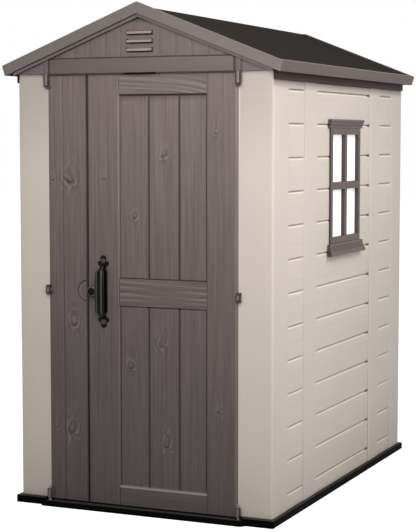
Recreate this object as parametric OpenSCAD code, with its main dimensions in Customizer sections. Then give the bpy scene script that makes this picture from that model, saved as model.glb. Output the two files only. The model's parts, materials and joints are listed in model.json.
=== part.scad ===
// Gable-roofed plastic garden shed: hollow resin panels on a low floor tray,
// a plank-panelled double door, one side window and a plain black roof.
// Frame: X to the right, Y to the back (the doors face -Y), Z up.
// The origin is on the ground, at the middle of the roof's plan.

/* [Overall] */
// Width over the side walls
wall_w = 1136; // [940:4:1380]
// Depth over the front and rear walls
wall_d = 1700; // [1400:4:2060]
// Height of the side walls' top
wall_top = 1758; // [1460:2:2120]
// Rise of the doorway's head over the side walls' top
head_rise = 34; // [28:1:42]
// Rise of the roof's edge over the side walls' top
eave_rise = 70; // [58:1:84]
// Rise of the roof's peak over its edge
roof_rise = 242; // [200:1:300]
// Reach of the roof's edge beyond the side walls
eave_out = 50; // [40:1:62]
// Reach of the gable fascias beyond the front and rear walls
gable_out = 45.5; // [37:0.5:56]

/* [Floor] */
// How far the floor tray reaches past the walls at the sides
tray_side = 14; // [10:1:20]
// How far the floor tray reaches past the walls at front and back
tray_end = 24; // [20:1:30]
// Height of the floor inside
floor_z = 20; // [16:1:26]
// Height of the kerb over the floor, on which the walls stand
kerb_h = 11; // [8:1:16]
// Reach of the threshold in front of the tray
sill_reach = 21; // [16:1:26]
// Height of the threshold's lip
sill_lip = 11; // [8:1:13]
// Drop from the floor to the threshold's back edge
sill_drop = 2; // [1:0.5:3]
// Width of the threshold at its lip
sill_w = 890; // [740:2:1080]

/* [Walls] */
// Thickness of the wall panels
wall_t = 20; // [16:1:26]
// Width of the front panel on each side of the doorway
corner_w = 141; // [114:1:172]
// Radius of the upright outer corners
corner_r = 10; // [4:1:14]
// Width of the middle panels at the sides and the back
panel_w = 724; // [600:4:880]
// Thickness of the gable panels
gable_t = 16; // [12:1:20]
// Height of the beam over the doors
header_h = 58; // [46:2:70]
// Thickness of the beam over the doors
header_t = 4; // [3:0.5:6]
// How far the eave beams stand out from the walls
beam_lip = 6; // [4:1:8]
// How far the eave beams and lintels lap past the walls' inner faces
beam_lap = 2; // [1:0.5:4]

/* [Roof] */
// Upright thickness of the roof panels
roof_v = 15; // [12:1:18]
// How far the roof lies below the fascias' upper edge
roof_sink = 3; // [2:0.5:5]
// Clearance under the roof panels, where sloped faces meet
seat_gap = 0.1; // [0.05:0.05:0.3]
// Width of the flat ridge cap
ridge_w = 114; // [90:2:140]
// Side of the square steel ridge tube
ridge_tube = 38; // [30:1:46]
// Wall of the steel ridge tube
tube_t = 2; // [1:0.5:3]
// Upright depth of the fascias
fascia_h = 46; // [38:1:56]
// Thickness of the fascias
fascia_t = 14; // [10:1:17]
// How far the step under the gable fascias hangs below them
step_h = 13; // [10:1:16]
// How far the eave fascias lean in at their foot
eave_lean = 12; // [8:1:15]

/* [Gable vents] */
// Width of the vent's slots
vent_w = 116; // [92:2:140]
// Spacing of the vent's slots
vent_pitch = 34; // [28:1:41]
// Number of slots in each gable
vent_count = 3; // [1:1:4]
// How far the vent's middle lies below the middle of the free gable
vent_drop = 3.4; // [0:0.2:6]
// Height of a vent hood
hood_h = 15; // [12:1:18]
// Height of a vent hood's upright front
hood_lip = 7; // [5:1:9]
// Reach of a vent hood
hood_d = 9; // [7:1:11]
// How far a vent hood is wider than its slot, at each end
hood_over = 3; // [2:0.5:5]
// Height of the slot under a hood
slot_h = 7; // [5:1:9]

/* [Doors] */
// Width of the narrow leaf
narrow_w = 169; // [140:1:204]
// Thickness of the leaves
door_t = 17; // [14:1:21]
// Gap between the two leaves
leaf_gap = 7.5; // [6:0.5:9]
// Gap between a leaf and the wall at its hinges
jamb_gap = 7; // [5.5:0.5:9]
// Gap over and under the leaves
end_gap = 6; // [5:0.5:8]
// How far the leaves stand in front of the wall
door_proud = 2; // [1:0.5:3]
// Clearance between the leaves and what lies behind them
stop_gap = 5; // [5:0.5:8]
// Thickness of the door stops
stop_t = 10; // [8:1:12]
// Overlap of the door stops behind the leaves and behind the walls
stop_lap = 15; // [12:1:18]
// Width of the main leaf's left stile
stile_l = 141; // [116:1:170]
// Width of the main leaf's right stile
stile_r = 133; // [110:1:160]
// Height of the main leaf's top rail
rail_top = 80; // [66:1:96]
// Height of the main leaf's middle rail
rail_mid = 111; // [92:1:134]
// Height of the main leaf's bottom rail
rail_foot = 84; // [70:1:102]
// Depth of the sunk panels
sunk = 3; // [2:0.5:5]
// Height of the middle rail's, handle's and latch's centre
mid_z = 906; // [750:2:1090]
// Radius of the half-round latch dish in the narrow leaf
dish_r = 44; // [36:1:53]
// Depth of the latch dish
dish_d = 2; // [1:0.5:4]

/* [Hinges] */
// Radius of the hinge pins
pin_r = 5; // [4:0.5:6]
// Clearance of a pin in its bore
pin_clear = 0.08; // [0.05:0.01:0.1]
// Distance from the doorway's side to the hinge axis
axis_in = 1; // [0:0.5:3]
// Radius of the hinge knuckles
knuckle_r = 9; // [7.5:0.5:11]
// Radius of the housings that hold the top pins
housing_r = 10; // [8:0.5:12]
// Clearance between the housings and the wall behind them
housing_gap = 2; // [1:0.5:3]
// How far the housings hang below the doorway's head
housing_drop = 56; // [46:2:68]
// How far the top pins end below the doorway's head
pin_short = 6; // [4:1:8]
// Height of a bottom knuckle
knuckle_h = 42; // [34:2:52]
// Height of a middle knuckle
mid_knuckle_h = 24; // [20:2:30]
// Height of the collar on a top pin
collar_h = 12; // [10:1:16]
// Thickness of the hinge plates on the leaves
web_t = 5; // [4:0.5:6]
// Reach of the hinge plates over the leaves
web_l = 22; // [18:1:28]
// Thickness of the ears that hold a middle pin
ear_t = 7; // [5:1:9]
// Reach of the ears past the hinge axis
ear_reach = 15; // [12:1:18]
// Half the thickness of an ear's arm to the wall
ear_arm = 2; // [1:0.5:3]
// Radius of the ball on a bottom pin
ball_r = 7; // [6:0.5:9]
// Height of the ball's centre over its knuckle
ball_rise = 5; // [4:0.5:8]
// Play between a knuckle and what it turns on
end_play = 1; // [0.5:0.1:2]

/* [Handle and latch] */
// Radius of the latch knob
knob_r = 20; // [16:1:24]
// How much narrower the latch knob is at its face
knob_taper = 3; // [1:0.5:5]
// Length of the latch knob
knob_l = 24; // [18:1:29]
// Distance from the main leaf's free edge to the latch knob
knob_in = 4; // [3:0.5:8]
// Play between the latch knob and the leaf
knob_play = 1; // [0.5:0.1:2]
// Radius of the latch's spindle
spindle_r = 6; // [5:0.5:8]
// Overlap of the latched tongue behind the narrow leaf
tongue_lap = 6.5; // [5:0.5:12]
// Width of the latch's tongue
tongue_w = 18; // [14:1:22]
// Length of the latch's tongue below its spindle
tongue_foot = 12; // [9:1:15]
// Thickness of the latch's tongue
tongue_t = 5; // [4:0.5:6]
// Clearance between the latch knob and the handle's plate
handle_gap = 8; // [6:0.5:12]
// Overall length of the handle's plate
handle_l = 298; // [246:2:360]
// Thickness of the handle's plate
plate_t = 5; // [4:0.5:6]
// Width of the handle's plate between its ends
plate_w = 36; // [30:1:44]
// Width of the neck between the plate and its ends
neck_w = 22; // [18:1:26]
// Radius of the lobes at the plate's ends
lobe_r = 11; // [9:0.5:13]
// Distance of the side lobes from the plate's middle
lobe_x = 15; // [13:1:18]
// Distance of the side lobes below the end lobe
lobe_z = 16; // [14:1:19]
// Width of the handle's bar
bar_w = 26; // [22:1:32]
// Thickness of the handle's bar
bar_t = 13; // [10:1:15]
// Length of the handle's bar
bar_l = 188; // [156:2:226]
// Height of the legs at the ends of the bar
leg_h = 16; // [12:1:20]
// Finger room behind the bar
finger = 23; // [19:1:28]

/* [Window] */
// Width of the window frame
win_w = 396; // [330:2:476]
// Height of the window frame
win_h = 496; // [412:2:596]
// Depth of the window frame's top below the side walls' top
win_down = 184; // [150:2:220]
// Width of the frame's sides
win_border = 28; // [23:1:34]
// Width of the bars between the panes
win_bar = 32; // [26:1:39]
// How far the frame laps over the wall round its hole
win_lap = 13; // [10:1:16]
// Clearance of the frame's lining in the wall's hole
win_clear = 0.5; // [0.2:0.1:1]
// How far the frame stands out from the wall
win_proud = 7; // [5:0.5:9]
// How far the panes lie behind the wall's face
pane_in = 9; // [7:0.5:11]
// Thickness of the panes
pane_t = 3; // [2:0.5:4]
// How far the window's head is wider than the frame, at each end
cap_over = 25; // [20:1:30]
// Height of the window's head
cap_h = 37; // [30:1:45]
// Height of the upright band at the top of the window's head
cap_band = 15; // [12:1:18]
// Reach of the window's head
cap_d = 18; // [15:1:22]
// Reach of the window's head at its foot
cap_foot = 8; // [6:1:10]
// How far the window's sill is wider than the frame, at each end
apron_over = 31; // [25:1:38]
// Height of the window's sill
apron_h = 51; // [42:1:62]
// Height of the upright band at the foot of the window's sill
apron_band = 10; // [8:1:12]
// Reach of the window's sill
apron_d = 24; // [20:1:29]
// Reach of the window's sill at its top
apron_top = 11; // [9:1:13]

/* [Hidden] */
$fn = 48;
// Overlap that joins the blocks of one piece
eps = 0.01;
// Length by which a cut runs past the face that it opens
cut = 1;

beige = "#c8bfb0";
brown = "#6e6462";
black = "#2e2b29";

half_w = wall_w / 2;
half_d = wall_d / 2;
inner_x = half_w - wall_t;
inner_y = half_d - wall_t;
beam_x = inner_x - beam_lap;
panel_x = panel_w / 2;
door_x = half_w - corner_w;
kerb_z = floor_z + kerb_h;
head_z = wall_top + head_rise;
eave_z = wall_top + eave_rise;
peak_z = eave_z + roof_rise;
eave_x = half_w + eave_out;
fascia_y = half_d + gable_out;
roof_y = fascia_y - fascia_t;
flat_x = ridge_w / 2;
slope = roof_rise / eave_x;
front_y = -half_d;
gable_y = front_y - gable_t;
header_y = gable_y - header_t;
tray_x = half_w + tray_side;
tray_y = half_d + tray_end;

// Doors: the axes stand in front of the wall, in line with the housings
axis_x = door_x - axis_in;
axis_y = front_y - housing_gap - housing_r;
leaf_x = door_x - jamb_gap;
leaf_front = front_y - door_proud;
leaf_back = leaf_front + door_t;
leaf_bottom = floor_z + end_gap;
leaf_top = head_z - end_gap;
narrow_edge = -leaf_x + narrow_w;
main_edge = narrow_edge + leaf_gap;
stop_y = leaf_back + stop_gap;
housing_z = head_z - housing_drop;
pin_top = head_z - pin_short;
foot_top = leaf_bottom + end_play + knuckle_h + end_play;
panel_l = main_edge + stile_l;
panel_r = leaf_x - stile_r;

// Handle, latch and window
latch_x = main_edge + knob_in + knob_r;
handle_x = latch_x + knob_r + handle_gap + plate_w / 2;
plate_y = leaf_front - plate_t;
bar_y = plate_y - finger - bar_t;
win_z = wall_top - win_down - win_h;
win_mid = win_z + win_h / 2;
hole_w = win_w - 2 * win_lap;
hole_h = win_h - 2 * win_lap;
pane_w = (win_w - 2 * win_border - win_bar) / 2;
pane_h = (win_h - 2 * win_border - win_bar) / 2;

// Height of the fascias' upper edge and of the roof's two faces at distance x from the ridge
function fascia_top(x) = peak_z - slope * abs(x);
function roof_top(x) = fascia_top(x) - roof_sink;
function roof_under(x) = roof_top(x) - roof_v;
// Height of what carries the roof
function roof_seat(x) = roof_under(x) - seat_gap;
// Height of the lower edge of the step under the gable fascias
function step_under(x) = fascia_top(x) - fascia_h - step_h;

// Vents: their middle lies just below the middle of the gable between header and step
vent_x = vent_w / 2 + hood_over;
vent_mid = (head_z + header_h + step_under(vent_x)) / 2 - vent_drop;
vent_low = vent_mid - ((vent_count - 1) * vent_pitch + hood_h - slot_h) / 2;

// A block between two corners
module block(a, b) {
    translate([min(a[0], b[0]), min(a[1], b[1]), min(a[2], b[2])])
        cube([abs(b[0] - a[0]), abs(b[1] - a[1]), abs(b[2] - a[2])]);
}

// An upright cylinder from z0 to z1
module post(x, y, z0, z1, r) {
    translate([x, y, z0]) cylinder(r = r, h = z1 - z0);
}

// An outline in X and Z, drawn out along Y from y0 to y1
module along_y(y0, y1, points) {
    translate([0, y1, 0])
        rotate([90, 0, 0])
            linear_extrude(y1 - y0)
                polygon(points);
}

// An outline in Y and Z, drawn out along X from x0 to x1
module along_x(x0, x1, points) {
    translate([x0, 0, 0])
        rotate([90, 0, 90])
            linear_extrude(x1 - x0)
                polygon(points);
}

// Children on the right as drawn, or turned over to the left
module on_side(side) {
    if (side < 0) {
        mirror([1, 0, 0]) children();
    } else {
        children();
    }
}

// Children at the back as drawn, or turned over to the front
module on_end(end) {
    if (end < 0) {
        mirror([0, 1, 0]) children();
    } else {
        children();
    }
}

// ---- Floor -------------------------------------------------------------

// One half of the floor tray, drawn as the rear one
module floor_slab(lower_doorway) {
    hinge_x = axis_x + housing_r + stop_gap;
    block([-tray_x, 0, 0], [tray_x, tray_y, floor_z]);
    for (side = [-1, 1]) {
        on_side(side)
            block([inner_x, 0, floor_z - eps], [tray_x, inner_y, kerb_z]);
        if (lower_doorway) {
            on_side(side)
                block([hinge_x - eps, inner_y, floor_z - eps], [tray_x, tray_y, kerb_z]);
            on_side(side)
                block([door_x, inner_y, floor_z - eps], [hinge_x, half_d, kerb_z]);
        }
    }
    if (!lower_doorway) {
        block([-tray_x, inner_y, floor_z - eps], [tray_x, tray_y, kerb_z]);
    }
}

module floor_front() {
    color(black) on_end(-1) floor_slab(true);
}

module floor_rear() {
    color(black) floor_slab(false);
}

// Low ramp in front of the doorway, its ends cut at a slant
module threshold() {
    back = -tray_y;
    lip = back - sill_reach;
    lip_x = sill_w / 2;
    back_x = lip_x + sill_reach;
    color(black)
        intersection() {
            linear_extrude(floor_z)
                polygon([[-back_x, back], [back_x, back], [lip_x, lip], [-lip_x, lip]]);
            along_x(-back_x, back_x,
                    [[lip, 0], [back, 0], [back, floor_z - sill_drop], [lip, sill_lip]]);
        }
}

// ---- Walls -------------------------------------------------------------

// A front or rear panel from x0 out to the corner, its outer corner rounded
module end_panel(x0) {
    translate([0, 0, kerb_z])
        linear_extrude(head_z - kerb_z)
            union() {
                translate([x0, inner_y]) square([half_w - x0, wall_t - corner_r]);
                translate([x0, inner_y]) square([half_w - corner_r - x0, wall_t]);
                translate([half_w - corner_r, half_d - corner_r]) circle(corner_r);
            }
}

module front_panel(side) {
    color(beige) on_end(-1) on_side(side) end_panel(door_x);
}

// Upright strip behind the hinge edge of a leaf, fixed to the wall's inner face
module door_stop(side) {
    back = max(stop_y, -inner_y) + stop_t;
    color(beige)
        on_side(side) {
            block([leaf_x - stop_lap, stop_y, floor_z], [door_x, back, head_z]);
            block([door_x - eps, -inner_y, floor_z], [door_x + stop_lap, back, head_z]);
        }
}

module side_panel_end(side, end) {
    color(beige)
        on_side(side)
            on_end(end)
                block([inner_x, panel_x, kerb_z], [half_w, inner_y, wall_top]);
}

module side_panel_middle(side, window) {
    color(beige)
        on_side(side)
            difference() {
                block([inner_x, -panel_x, kerb_z], [half_w, panel_x, wall_top]);
                if (window) {
                    block([inner_x - cut, -hole_w / 2, win_mid - hole_h / 2],
                          [half_w + cut, hole_w / 2, win_mid + hole_h / 2]);
                }
            }
}

module rear_panel_end(side) {
    color(beige) on_side(side) end_panel(panel_x);
}

module rear_panel_middle() {
    color(beige) block([-panel_x, inner_y, kerb_z], [panel_x, half_d, head_z]);
}

// Beam along the top of a side wall, its upper face following the roof
module eave_beam(side) {
    lip_x = half_w + beam_lip;
    color(brown)
        on_side(side) {
            along_y(-inner_y, inner_y,
                    [[beam_x, wall_top], [half_w, wall_top],
                     [half_w, roof_seat(half_w)], [beam_x, roof_seat(beam_x)]]);
            along_y(-half_d, half_d,
                    [[half_w, wall_top], [lip_x, wall_top],
                     [lip_x, roof_seat(lip_x)], [half_w, roof_seat(half_w)]]);
        }
}

// Inner beam that carries a gable; the front one has a stop for the leaves
module lintel(end, stop) {
    top = roof_seat(half_w) - cut;
    stop_x = leaf_x - stop_lap - cut;
    back = max(stop_y, -inner_y) + stop_t;
    color(brown)
        on_end(end) {
            block([-beam_x, inner_y, head_z], [beam_x, half_d, top]);
            if (stop) {
                block([-beam_x, -back, head_z], [beam_x, inner_y + eps, top]);
                block([-stop_x, -back, leaf_top - stop_lap], [stop_x, -stop_y, head_z + eps]);
            }
        }
}

// ---- Gables ------------------------------------------------------------

// Gable panel under the roof, with the vent's slots cut through it
module gable(end) {
    face = half_d + gable_t;
    color(brown)
        on_end(end)
            difference() {
                along_y(half_d, face,
                        [[-half_w, head_z], [half_w, head_z], [half_w, roof_seat(half_w)],
                         [flat_x, roof_seat(flat_x)], [-flat_x, roof_seat(flat_x)],
                         [-half_w, roof_seat(half_w)]]);
                for (i = [0 : vent_count - 1]) {
                    z = vent_low + i * vent_pitch;
                    block([-vent_w / 2, half_d - cut, z - slot_h], [vent_w / 2, face + cut, z]);
                }
            }
}

// Hoods over the slots of one gable
module vent_hoods(end) {
    face = half_d + gable_t;
    color(brown)
        on_end(end)
            for (i = [0 : vent_count - 1]) {
                z = vent_low + i * vent_pitch;
                along_x(-vent_x, vent_x,
                        [[face, z], [face + hood_d, z],
                         [face + hood_d, z + hood_lip], [face, z + hood_h]]);
            }
}

// Beam over the doors with a round-ended housing for the top pin at each end
module header() {
    top = head_z + header_h;
    end_top = min(top, step_under(axis_x + housing_r) - cut);
    bend_x = min(axis_x, (step_under(0) - cut - top) / slope);
    ball_z = housing_z + housing_r;
    color(brown)
        difference() {
            union() {
                along_y(header_y, gable_y,
                        [[-axis_x, head_z], [axis_x, head_z], [axis_x, end_top],
                         [bend_x, top], [-bend_x, top], [-axis_x, end_top]]);
                for (side = [-1, 1]) {
                    post(side * axis_x, axis_y, ball_z, head_z, housing_r);
                    translate([side * axis_x, axis_y, ball_z])
                        sphere(housing_r);
                    intersection() {
                        post(side * axis_x, axis_y, head_z - eps, end_top, housing_r);
                        block([-half_w, gable_y - 2 * housing_r, housing_z],
                              [half_w, gable_y, peak_z]);
                    }
                }
            }
            for (side = [-1, 1])
                post(side * axis_x, axis_y, housing_z - cut, pin_top + end_play,
                     pin_r + pin_clear);
        }
}

// ---- Roof --------------------------------------------------------------

// One slope of the roof, from the ridge cap to the eave
module roof_slope(side) {
    foot_x = eave_x - fascia_t;
    color(black)
        on_side(side)
            along_y(-roof_y, roof_y,
                    [[flat_x, roof_under(flat_x)], [foot_x, roof_under(foot_x)],
                     [foot_x, roof_top(foot_x)], [flat_x, roof_top(flat_x)]]);
}

module ridge_cap() {
    color(black)
        block([-flat_x, -roof_y, roof_under(flat_x)], [flat_x, roof_y, roof_top(flat_x)]);
}

// Square steel tube that carries the ridge between the gables
module ridge_tube_beam() {
    top = roof_under(flat_x);
    half = ridge_tube / 2;
    color("silver")
        difference() {
            block([-half, -half_d, top - ridge_tube], [half, half_d, top]);
            block([-half + tube_t, -half_d - cut, top - ridge_tube + tube_t],
                  [half - tube_t, half_d + cut, top - tube_t]);
        }
}

// One side of a gable fascia with the step under it, drawn as the rear right one.
// The front one rises to a point, and the rear one ends level behind the ridge cap.
module gable_fascia(side, end) {
    foot_x = eave_x - eave_lean;
    step_x = half_w + beam_lip;
    level = fascia_top(flat_x);
    crest = end > 0 ? [[0, level], [flat_x, level]] : [[0, peak_z]];
    color(brown)
        on_side(side)
            on_end(end) {
                along_y(roof_y, fascia_y,
                        concat(crest,
                               [[eave_x, eave_z],
                                [foot_x, fascia_top(foot_x) - fascia_h],
                                [0, peak_z - fascia_h]]));
                along_y(half_d + gable_t, roof_y + eps,
                        [[0, roof_seat(flat_x)], [flat_x, roof_seat(flat_x)],
                         [step_x, roof_seat(step_x)],
                         [step_x, step_under(step_x)], [0, step_under(0)]]);
            }
}

// Fascia along an eave, leaning in at its foot
module eave_fascia(side) {
    top_x = eave_x - fascia_t;
    foot_x = eave_x - eave_lean;
    foot_z = fascia_top(foot_x) - fascia_h;
    color(brown)
        on_side(side)
            along_y(-roof_y, roof_y,
                    [[top_x, fascia_top(top_x)], [eave_x, eave_z], [foot_x, foot_z],
                     [foot_x - fascia_t, foot_z], [top_x, roof_under(top_x) - roof_sink]]);
}

// ---- Window ------------------------------------------------------------

// Frame round the panes: a flange on the wall's face and a lining in its hole
module window_frame() {
    lining_y = hole_w / 2 - win_clear;
    lining_z = hole_h / 2 - win_clear;
    face = half_w + win_proud;
    color(brown)
        difference() {
            union() {
                block([half_w, -win_w / 2, win_z], [face, win_w / 2, win_z + win_h]);
                block([inner_x, -lining_y, win_mid - lining_z],
                      [half_w + eps, lining_y, win_mid + lining_z]);
            }
            for (i = [-1, 1], j = [-1, 1]) {
                y = i * (pane_w + win_bar) / 2;
                z = win_mid + j * (pane_h + win_bar) / 2;
                block([inner_x - cut, y - pane_w / 2, z - pane_h / 2],
                      [face + cut, y + pane_w / 2, z + pane_h / 2]);
            }
        }
}

// The four panes, each lying in its own opening of the frame
module window_panes() {
    x = half_w - pane_in;
    color("white")
        for (i = [-1, 1], j = [-1, 1]) {
            y = i * (pane_w + win_bar) / 2;
            z = win_mid + j * (pane_h + win_bar) / 2;
            block([x - pane_t, y - pane_w / 2, z - pane_h / 2],
                  [x, y + pane_w / 2, z + pane_h / 2]);
        }
}

module window_head() {
    cap_y = win_w / 2 + cap_over;
    foot = win_z + win_h;
    color(brown)
        along_y(-cap_y, cap_y,
                [[half_w, foot], [half_w + cap_foot, foot],
                 [half_w + cap_d, foot + cap_h - cap_band],
                 [half_w + cap_d, foot + cap_h], [half_w, foot + cap_h]]);
}

module window_sill() {
    apron_y = win_w / 2 + apron_over;
    foot = win_z - apron_h;
    color(brown)
        along_y(-apron_y, apron_y,
                [[half_w, foot], [half_w + apron_d, foot],
                 [half_w + apron_d, foot + apron_band],
                 [half_w + apron_top, win_z], [half_w, win_z]]);
}

// ---- Doors -------------------------------------------------------------

// Fixed pins: one on the floor tray and one between two ears, at each side
module hinge_pins() {
    ear_gap = mid_knuckle_h / 2 + end_play;
    ear_end = ear_gap + ear_t;
    color(brown)
        for (side = [-1, 1])
            on_side(side) {
                post(axis_x, axis_y, floor_z, foot_top + ball_rise, pin_r);
                translate([axis_x, axis_y, foot_top + ball_rise])
                    sphere(r = ball_r);
                post(axis_x, axis_y, mid_z - ear_end, mid_z + ear_end, pin_r);
                for (z = [mid_z - ear_end, mid_z + ear_gap]) {
                    post(axis_x, axis_y, z, z + ear_t, knuckle_r);
                    block([axis_x, axis_y - ear_arm, z], [axis_x + ear_reach, front_y, z + ear_t]);
                }
            }
}

// Knuckle and plate of a hinge on a leaf, from z0 to z1
module knuckle(z0, z1) {
    post(axis_x, axis_y, z0, z1, knuckle_r);
    block([axis_x - web_l, leaf_front - web_t, z0], [axis_x, leaf_front, z1]);
}

// Moving half of a leaf's hinges: two bored knuckles and the top pin
module leaf_hinges(side) {
    foot = leaf_bottom + end_play;
    mid = mid_z - mid_knuckle_h / 2;
    collar = housing_z - end_play - collar_h;
    bore = pin_r + pin_clear;
    color(brown)
        on_side(side) {
            difference() {
                union() {
                    knuckle(foot, foot + knuckle_h);
                    knuckle(mid, mid + mid_knuckle_h);
                }
                post(axis_x, axis_y, foot - cut, foot + knuckle_h + cut, bore);
                post(axis_x, axis_y, mid - cut, mid + mid_knuckle_h + cut, bore);
            }
            knuckle(collar, collar + collar_h);
            post(axis_x, axis_y, collar, pin_top, pin_r);
        }
}

// Main leaf: stiles and rails round two sunk panels, bored for the latch's spindle
module main_door() {
    color(brown)
        difference() {
            block([main_edge, leaf_front, leaf_bottom], [leaf_x, leaf_back, leaf_top]);
            block([panel_l, leaf_front - cut, leaf_bottom + rail_foot],
                  [panel_r, leaf_front + sunk, mid_z - rail_mid / 2]);
            block([panel_l, leaf_front - cut, mid_z + rail_mid / 2],
                  [panel_r, leaf_front + sunk, leaf_top - rail_top]);
            translate([latch_x, leaf_back + cut, mid_z])
                rotate([90, 0, 0])
                    cylinder(r = spindle_r + pin_clear, h = door_t + 2 * cut);
        }
}

// Narrow leaf with the half-round dish beside the latch
module narrow_door() {
    color(brown)
        difference() {
            block([-leaf_x, leaf_front, leaf_bottom], [narrow_edge, leaf_back, leaf_top]);
            translate([narrow_edge, leaf_front + dish_d, mid_z])
                rotate([90, 0, 0])
                    cylinder(r = dish_r, h = dish_d + cut);
        }
}

// Plate with lobed ends and a straight bar on two legs
module door_handle() {
    end_z = handle_l / 2 - lobe_r;
    color(black)
        translate([handle_x, 0, mid_z]) {
            translate([0, leaf_front, 0])
                rotate([90, 0, 0])
                    linear_extrude(plate_t) {
                        square([plate_w, bar_l], center = true);
                        square([neck_w, 2 * end_z], center = true);
                        for (s = [-1, 1]) {
                            translate([0, s * end_z]) circle(lobe_r);
                            for (t = [-1, 1])
                                translate([t * lobe_x, s * (end_z - lobe_z)]) circle(lobe_r);
                        }
                    }
            block([-bar_w / 2, bar_y, -bar_l / 2], [bar_w / 2, bar_y + bar_t, bar_l / 2]);
            for (s = [-1, 1])
                block([-bar_w / 2, bar_y + bar_t - eps, s * bar_l / 2],
                      [bar_w / 2, plate_y + eps, s * (bar_l / 2 - leg_h)]);
        }
}

// Turning latch: knob, spindle and the tongue behind the leaf, tongue upright at rest
module latch() {
    tongue_y = stop_y + tongue_t;
    tongue_l = latch_x - narrow_edge + tongue_lap;
    knob_y = leaf_front - knob_play;
    color(black) {
        translate([latch_x, knob_y, mid_z])
            rotate([90, 0, 0])
                cylinder(r1 = knob_r, r2 = knob_r - knob_taper, h = knob_l);
        translate([latch_x, tongue_y, mid_z])
            rotate([90, 0, 0])
                cylinder(r = spindle_r, h = tongue_y - knob_y + eps);
        block([latch_x - tongue_w / 2, stop_y, mid_z - tongue_foot],
              [latch_x + tongue_w / 2, tongue_y, mid_z + tongue_l]);
    }
}

floor_front();
floor_rear();
threshold();
front_panel(-1);  // front_panel_left
front_panel(1);  // front_panel_right
door_stop(-1);  // door_stop_left
door_stop(1);  // door_stop_right
side_panel_end(-1, -1);  // side_panel_left_front
side_panel_middle(-1, false);  // side_panel_left_middle
side_panel_end(-1, 1);  // side_panel_left_rear
side_panel_end(1, -1);  // side_panel_right_front
side_panel_middle(1, true);  // side_panel_right_middle
side_panel_end(1, 1);  // side_panel_right_rear
rear_panel_end(-1);  // rear_panel_left
rear_panel_middle();
rear_panel_end(1);  // rear_panel_right
eave_beam(-1);  // eave_beam_left
eave_beam(1);  // eave_beam_right
lintel(-1, true);  // lintel_front
lintel(1, false);  // lintel_rear
header();
gable(-1);  // gable_front
gable(1);  // gable_rear
vent_hoods(-1);  // vent_hoods_front
vent_hoods(1);  // vent_hoods_rear
roof_slope(-1);  // roof_left
roof_slope(1);  // roof_right
ridge_cap();
ridge_tube_beam();  // ridge_tube
gable_fascia(-1, -1);  // fascia_front_left
gable_fascia(1, -1);  // fascia_front_right
gable_fascia(-1, 1);  // fascia_rear_left
gable_fascia(1, 1);  // fascia_rear_right
eave_fascia(-1);  // fascia_eave_left
eave_fascia(1);  // fascia_eave_right
window_frame();
window_head();
window_sill();
window_panes();
hinge_pins();
main_door();
leaf_hinges(1);  // main_door_hinges
door_handle();
narrow_door();
leaf_hinges(-1);  // narrow_door_hinges
latch();
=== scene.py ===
"""Looks of a gable-roofed plastic garden shed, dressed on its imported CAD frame.

Sizes are in metres, in the frame of the CAD part: X to the right, Y to the back (the doors
face -Y), Z up, with the origin on the ground under the middle of the roof.
"""

import json
import logging
import math
from contextlib import contextmanager
from dataclasses import dataclass, field
from enum import Enum
from typing import Callable, Iterator, Sequence

import bmesh
import bpy
from bpy.types import Material, Mesh, Node, NodeSocket, NodeTree, Object
from mathutils import Matrix, Vector, noise


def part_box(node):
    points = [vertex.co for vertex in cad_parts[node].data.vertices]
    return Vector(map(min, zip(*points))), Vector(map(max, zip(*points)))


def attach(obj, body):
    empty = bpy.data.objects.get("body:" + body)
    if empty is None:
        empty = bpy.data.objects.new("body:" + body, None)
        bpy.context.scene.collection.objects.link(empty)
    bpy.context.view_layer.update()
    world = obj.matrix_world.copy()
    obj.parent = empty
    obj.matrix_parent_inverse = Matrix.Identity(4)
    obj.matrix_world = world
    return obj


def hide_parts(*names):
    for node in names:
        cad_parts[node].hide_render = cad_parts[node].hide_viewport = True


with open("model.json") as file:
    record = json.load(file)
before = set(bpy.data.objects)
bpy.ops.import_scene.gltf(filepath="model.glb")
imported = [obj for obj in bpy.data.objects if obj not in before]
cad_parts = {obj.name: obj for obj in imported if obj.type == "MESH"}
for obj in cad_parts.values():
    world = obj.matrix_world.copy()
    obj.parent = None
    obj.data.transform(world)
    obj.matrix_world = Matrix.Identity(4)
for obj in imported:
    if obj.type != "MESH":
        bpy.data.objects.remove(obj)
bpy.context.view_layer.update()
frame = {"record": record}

LOG = logging.getLogger("shed")
MM = 0.001
ENDS = (-1, 1)
Point = tuple[float, float, float]
Outline = list[tuple[float, float]]


# ---- Small helpers ---------------------------------------------------------


def linear(code: str) -> tuple[float, float, float, float]:
    """Turns an sRGB hex colour into a linear one.

    Args:
        code: Colour such as "#C8BFB0".

    Returns:
        Linear red, green, blue and an alpha of 1.
    """
    parts = [int(code[i : i + 2], 16) / 255 for i in (1, 3, 5)]
    red, green, blue = (c / 12.92 if c <= 0.04045 else ((c + 0.055) / 1.055) ** 2.4 for c in parts)
    return red, green, blue, 1.0


def plug(tree: NodeTree, target: Node, inputs: dict) -> None:
    """Fills a node's input sockets.

    Args:
        tree: Node tree of the node.
        target: The node.
        inputs: Input sockets, by name or number, with a value or with the output to link.
    """
    for key, value in inputs.items():
        if isinstance(value, NodeSocket):
            tree.links.new(value, target.inputs[key])
        else:
            target.inputs[key].default_value = value


def node(
    tree: NodeTree, kind: str, inputs: dict, out: int | str = 0, **settings: object
) -> NodeSocket:
    """Adds a shader node with its settings and links.

    Args:
        tree: Node tree that the node goes into.
        kind: Type of the node: Blender's own name without "ShaderNode".
        inputs: Input sockets, by name or number, with a value or with the output to link.
        out: The output socket that is wanted, by name or number.
        **settings: Properties of the node and their values.

    Returns:
        The wanted output socket.
    """
    new = tree.nodes.new(f"ShaderNode{kind}")
    for key, value in settings.items():
        setattr(new, key, value)
    plug(tree, new, inputs)
    return new.outputs[out]


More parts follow.
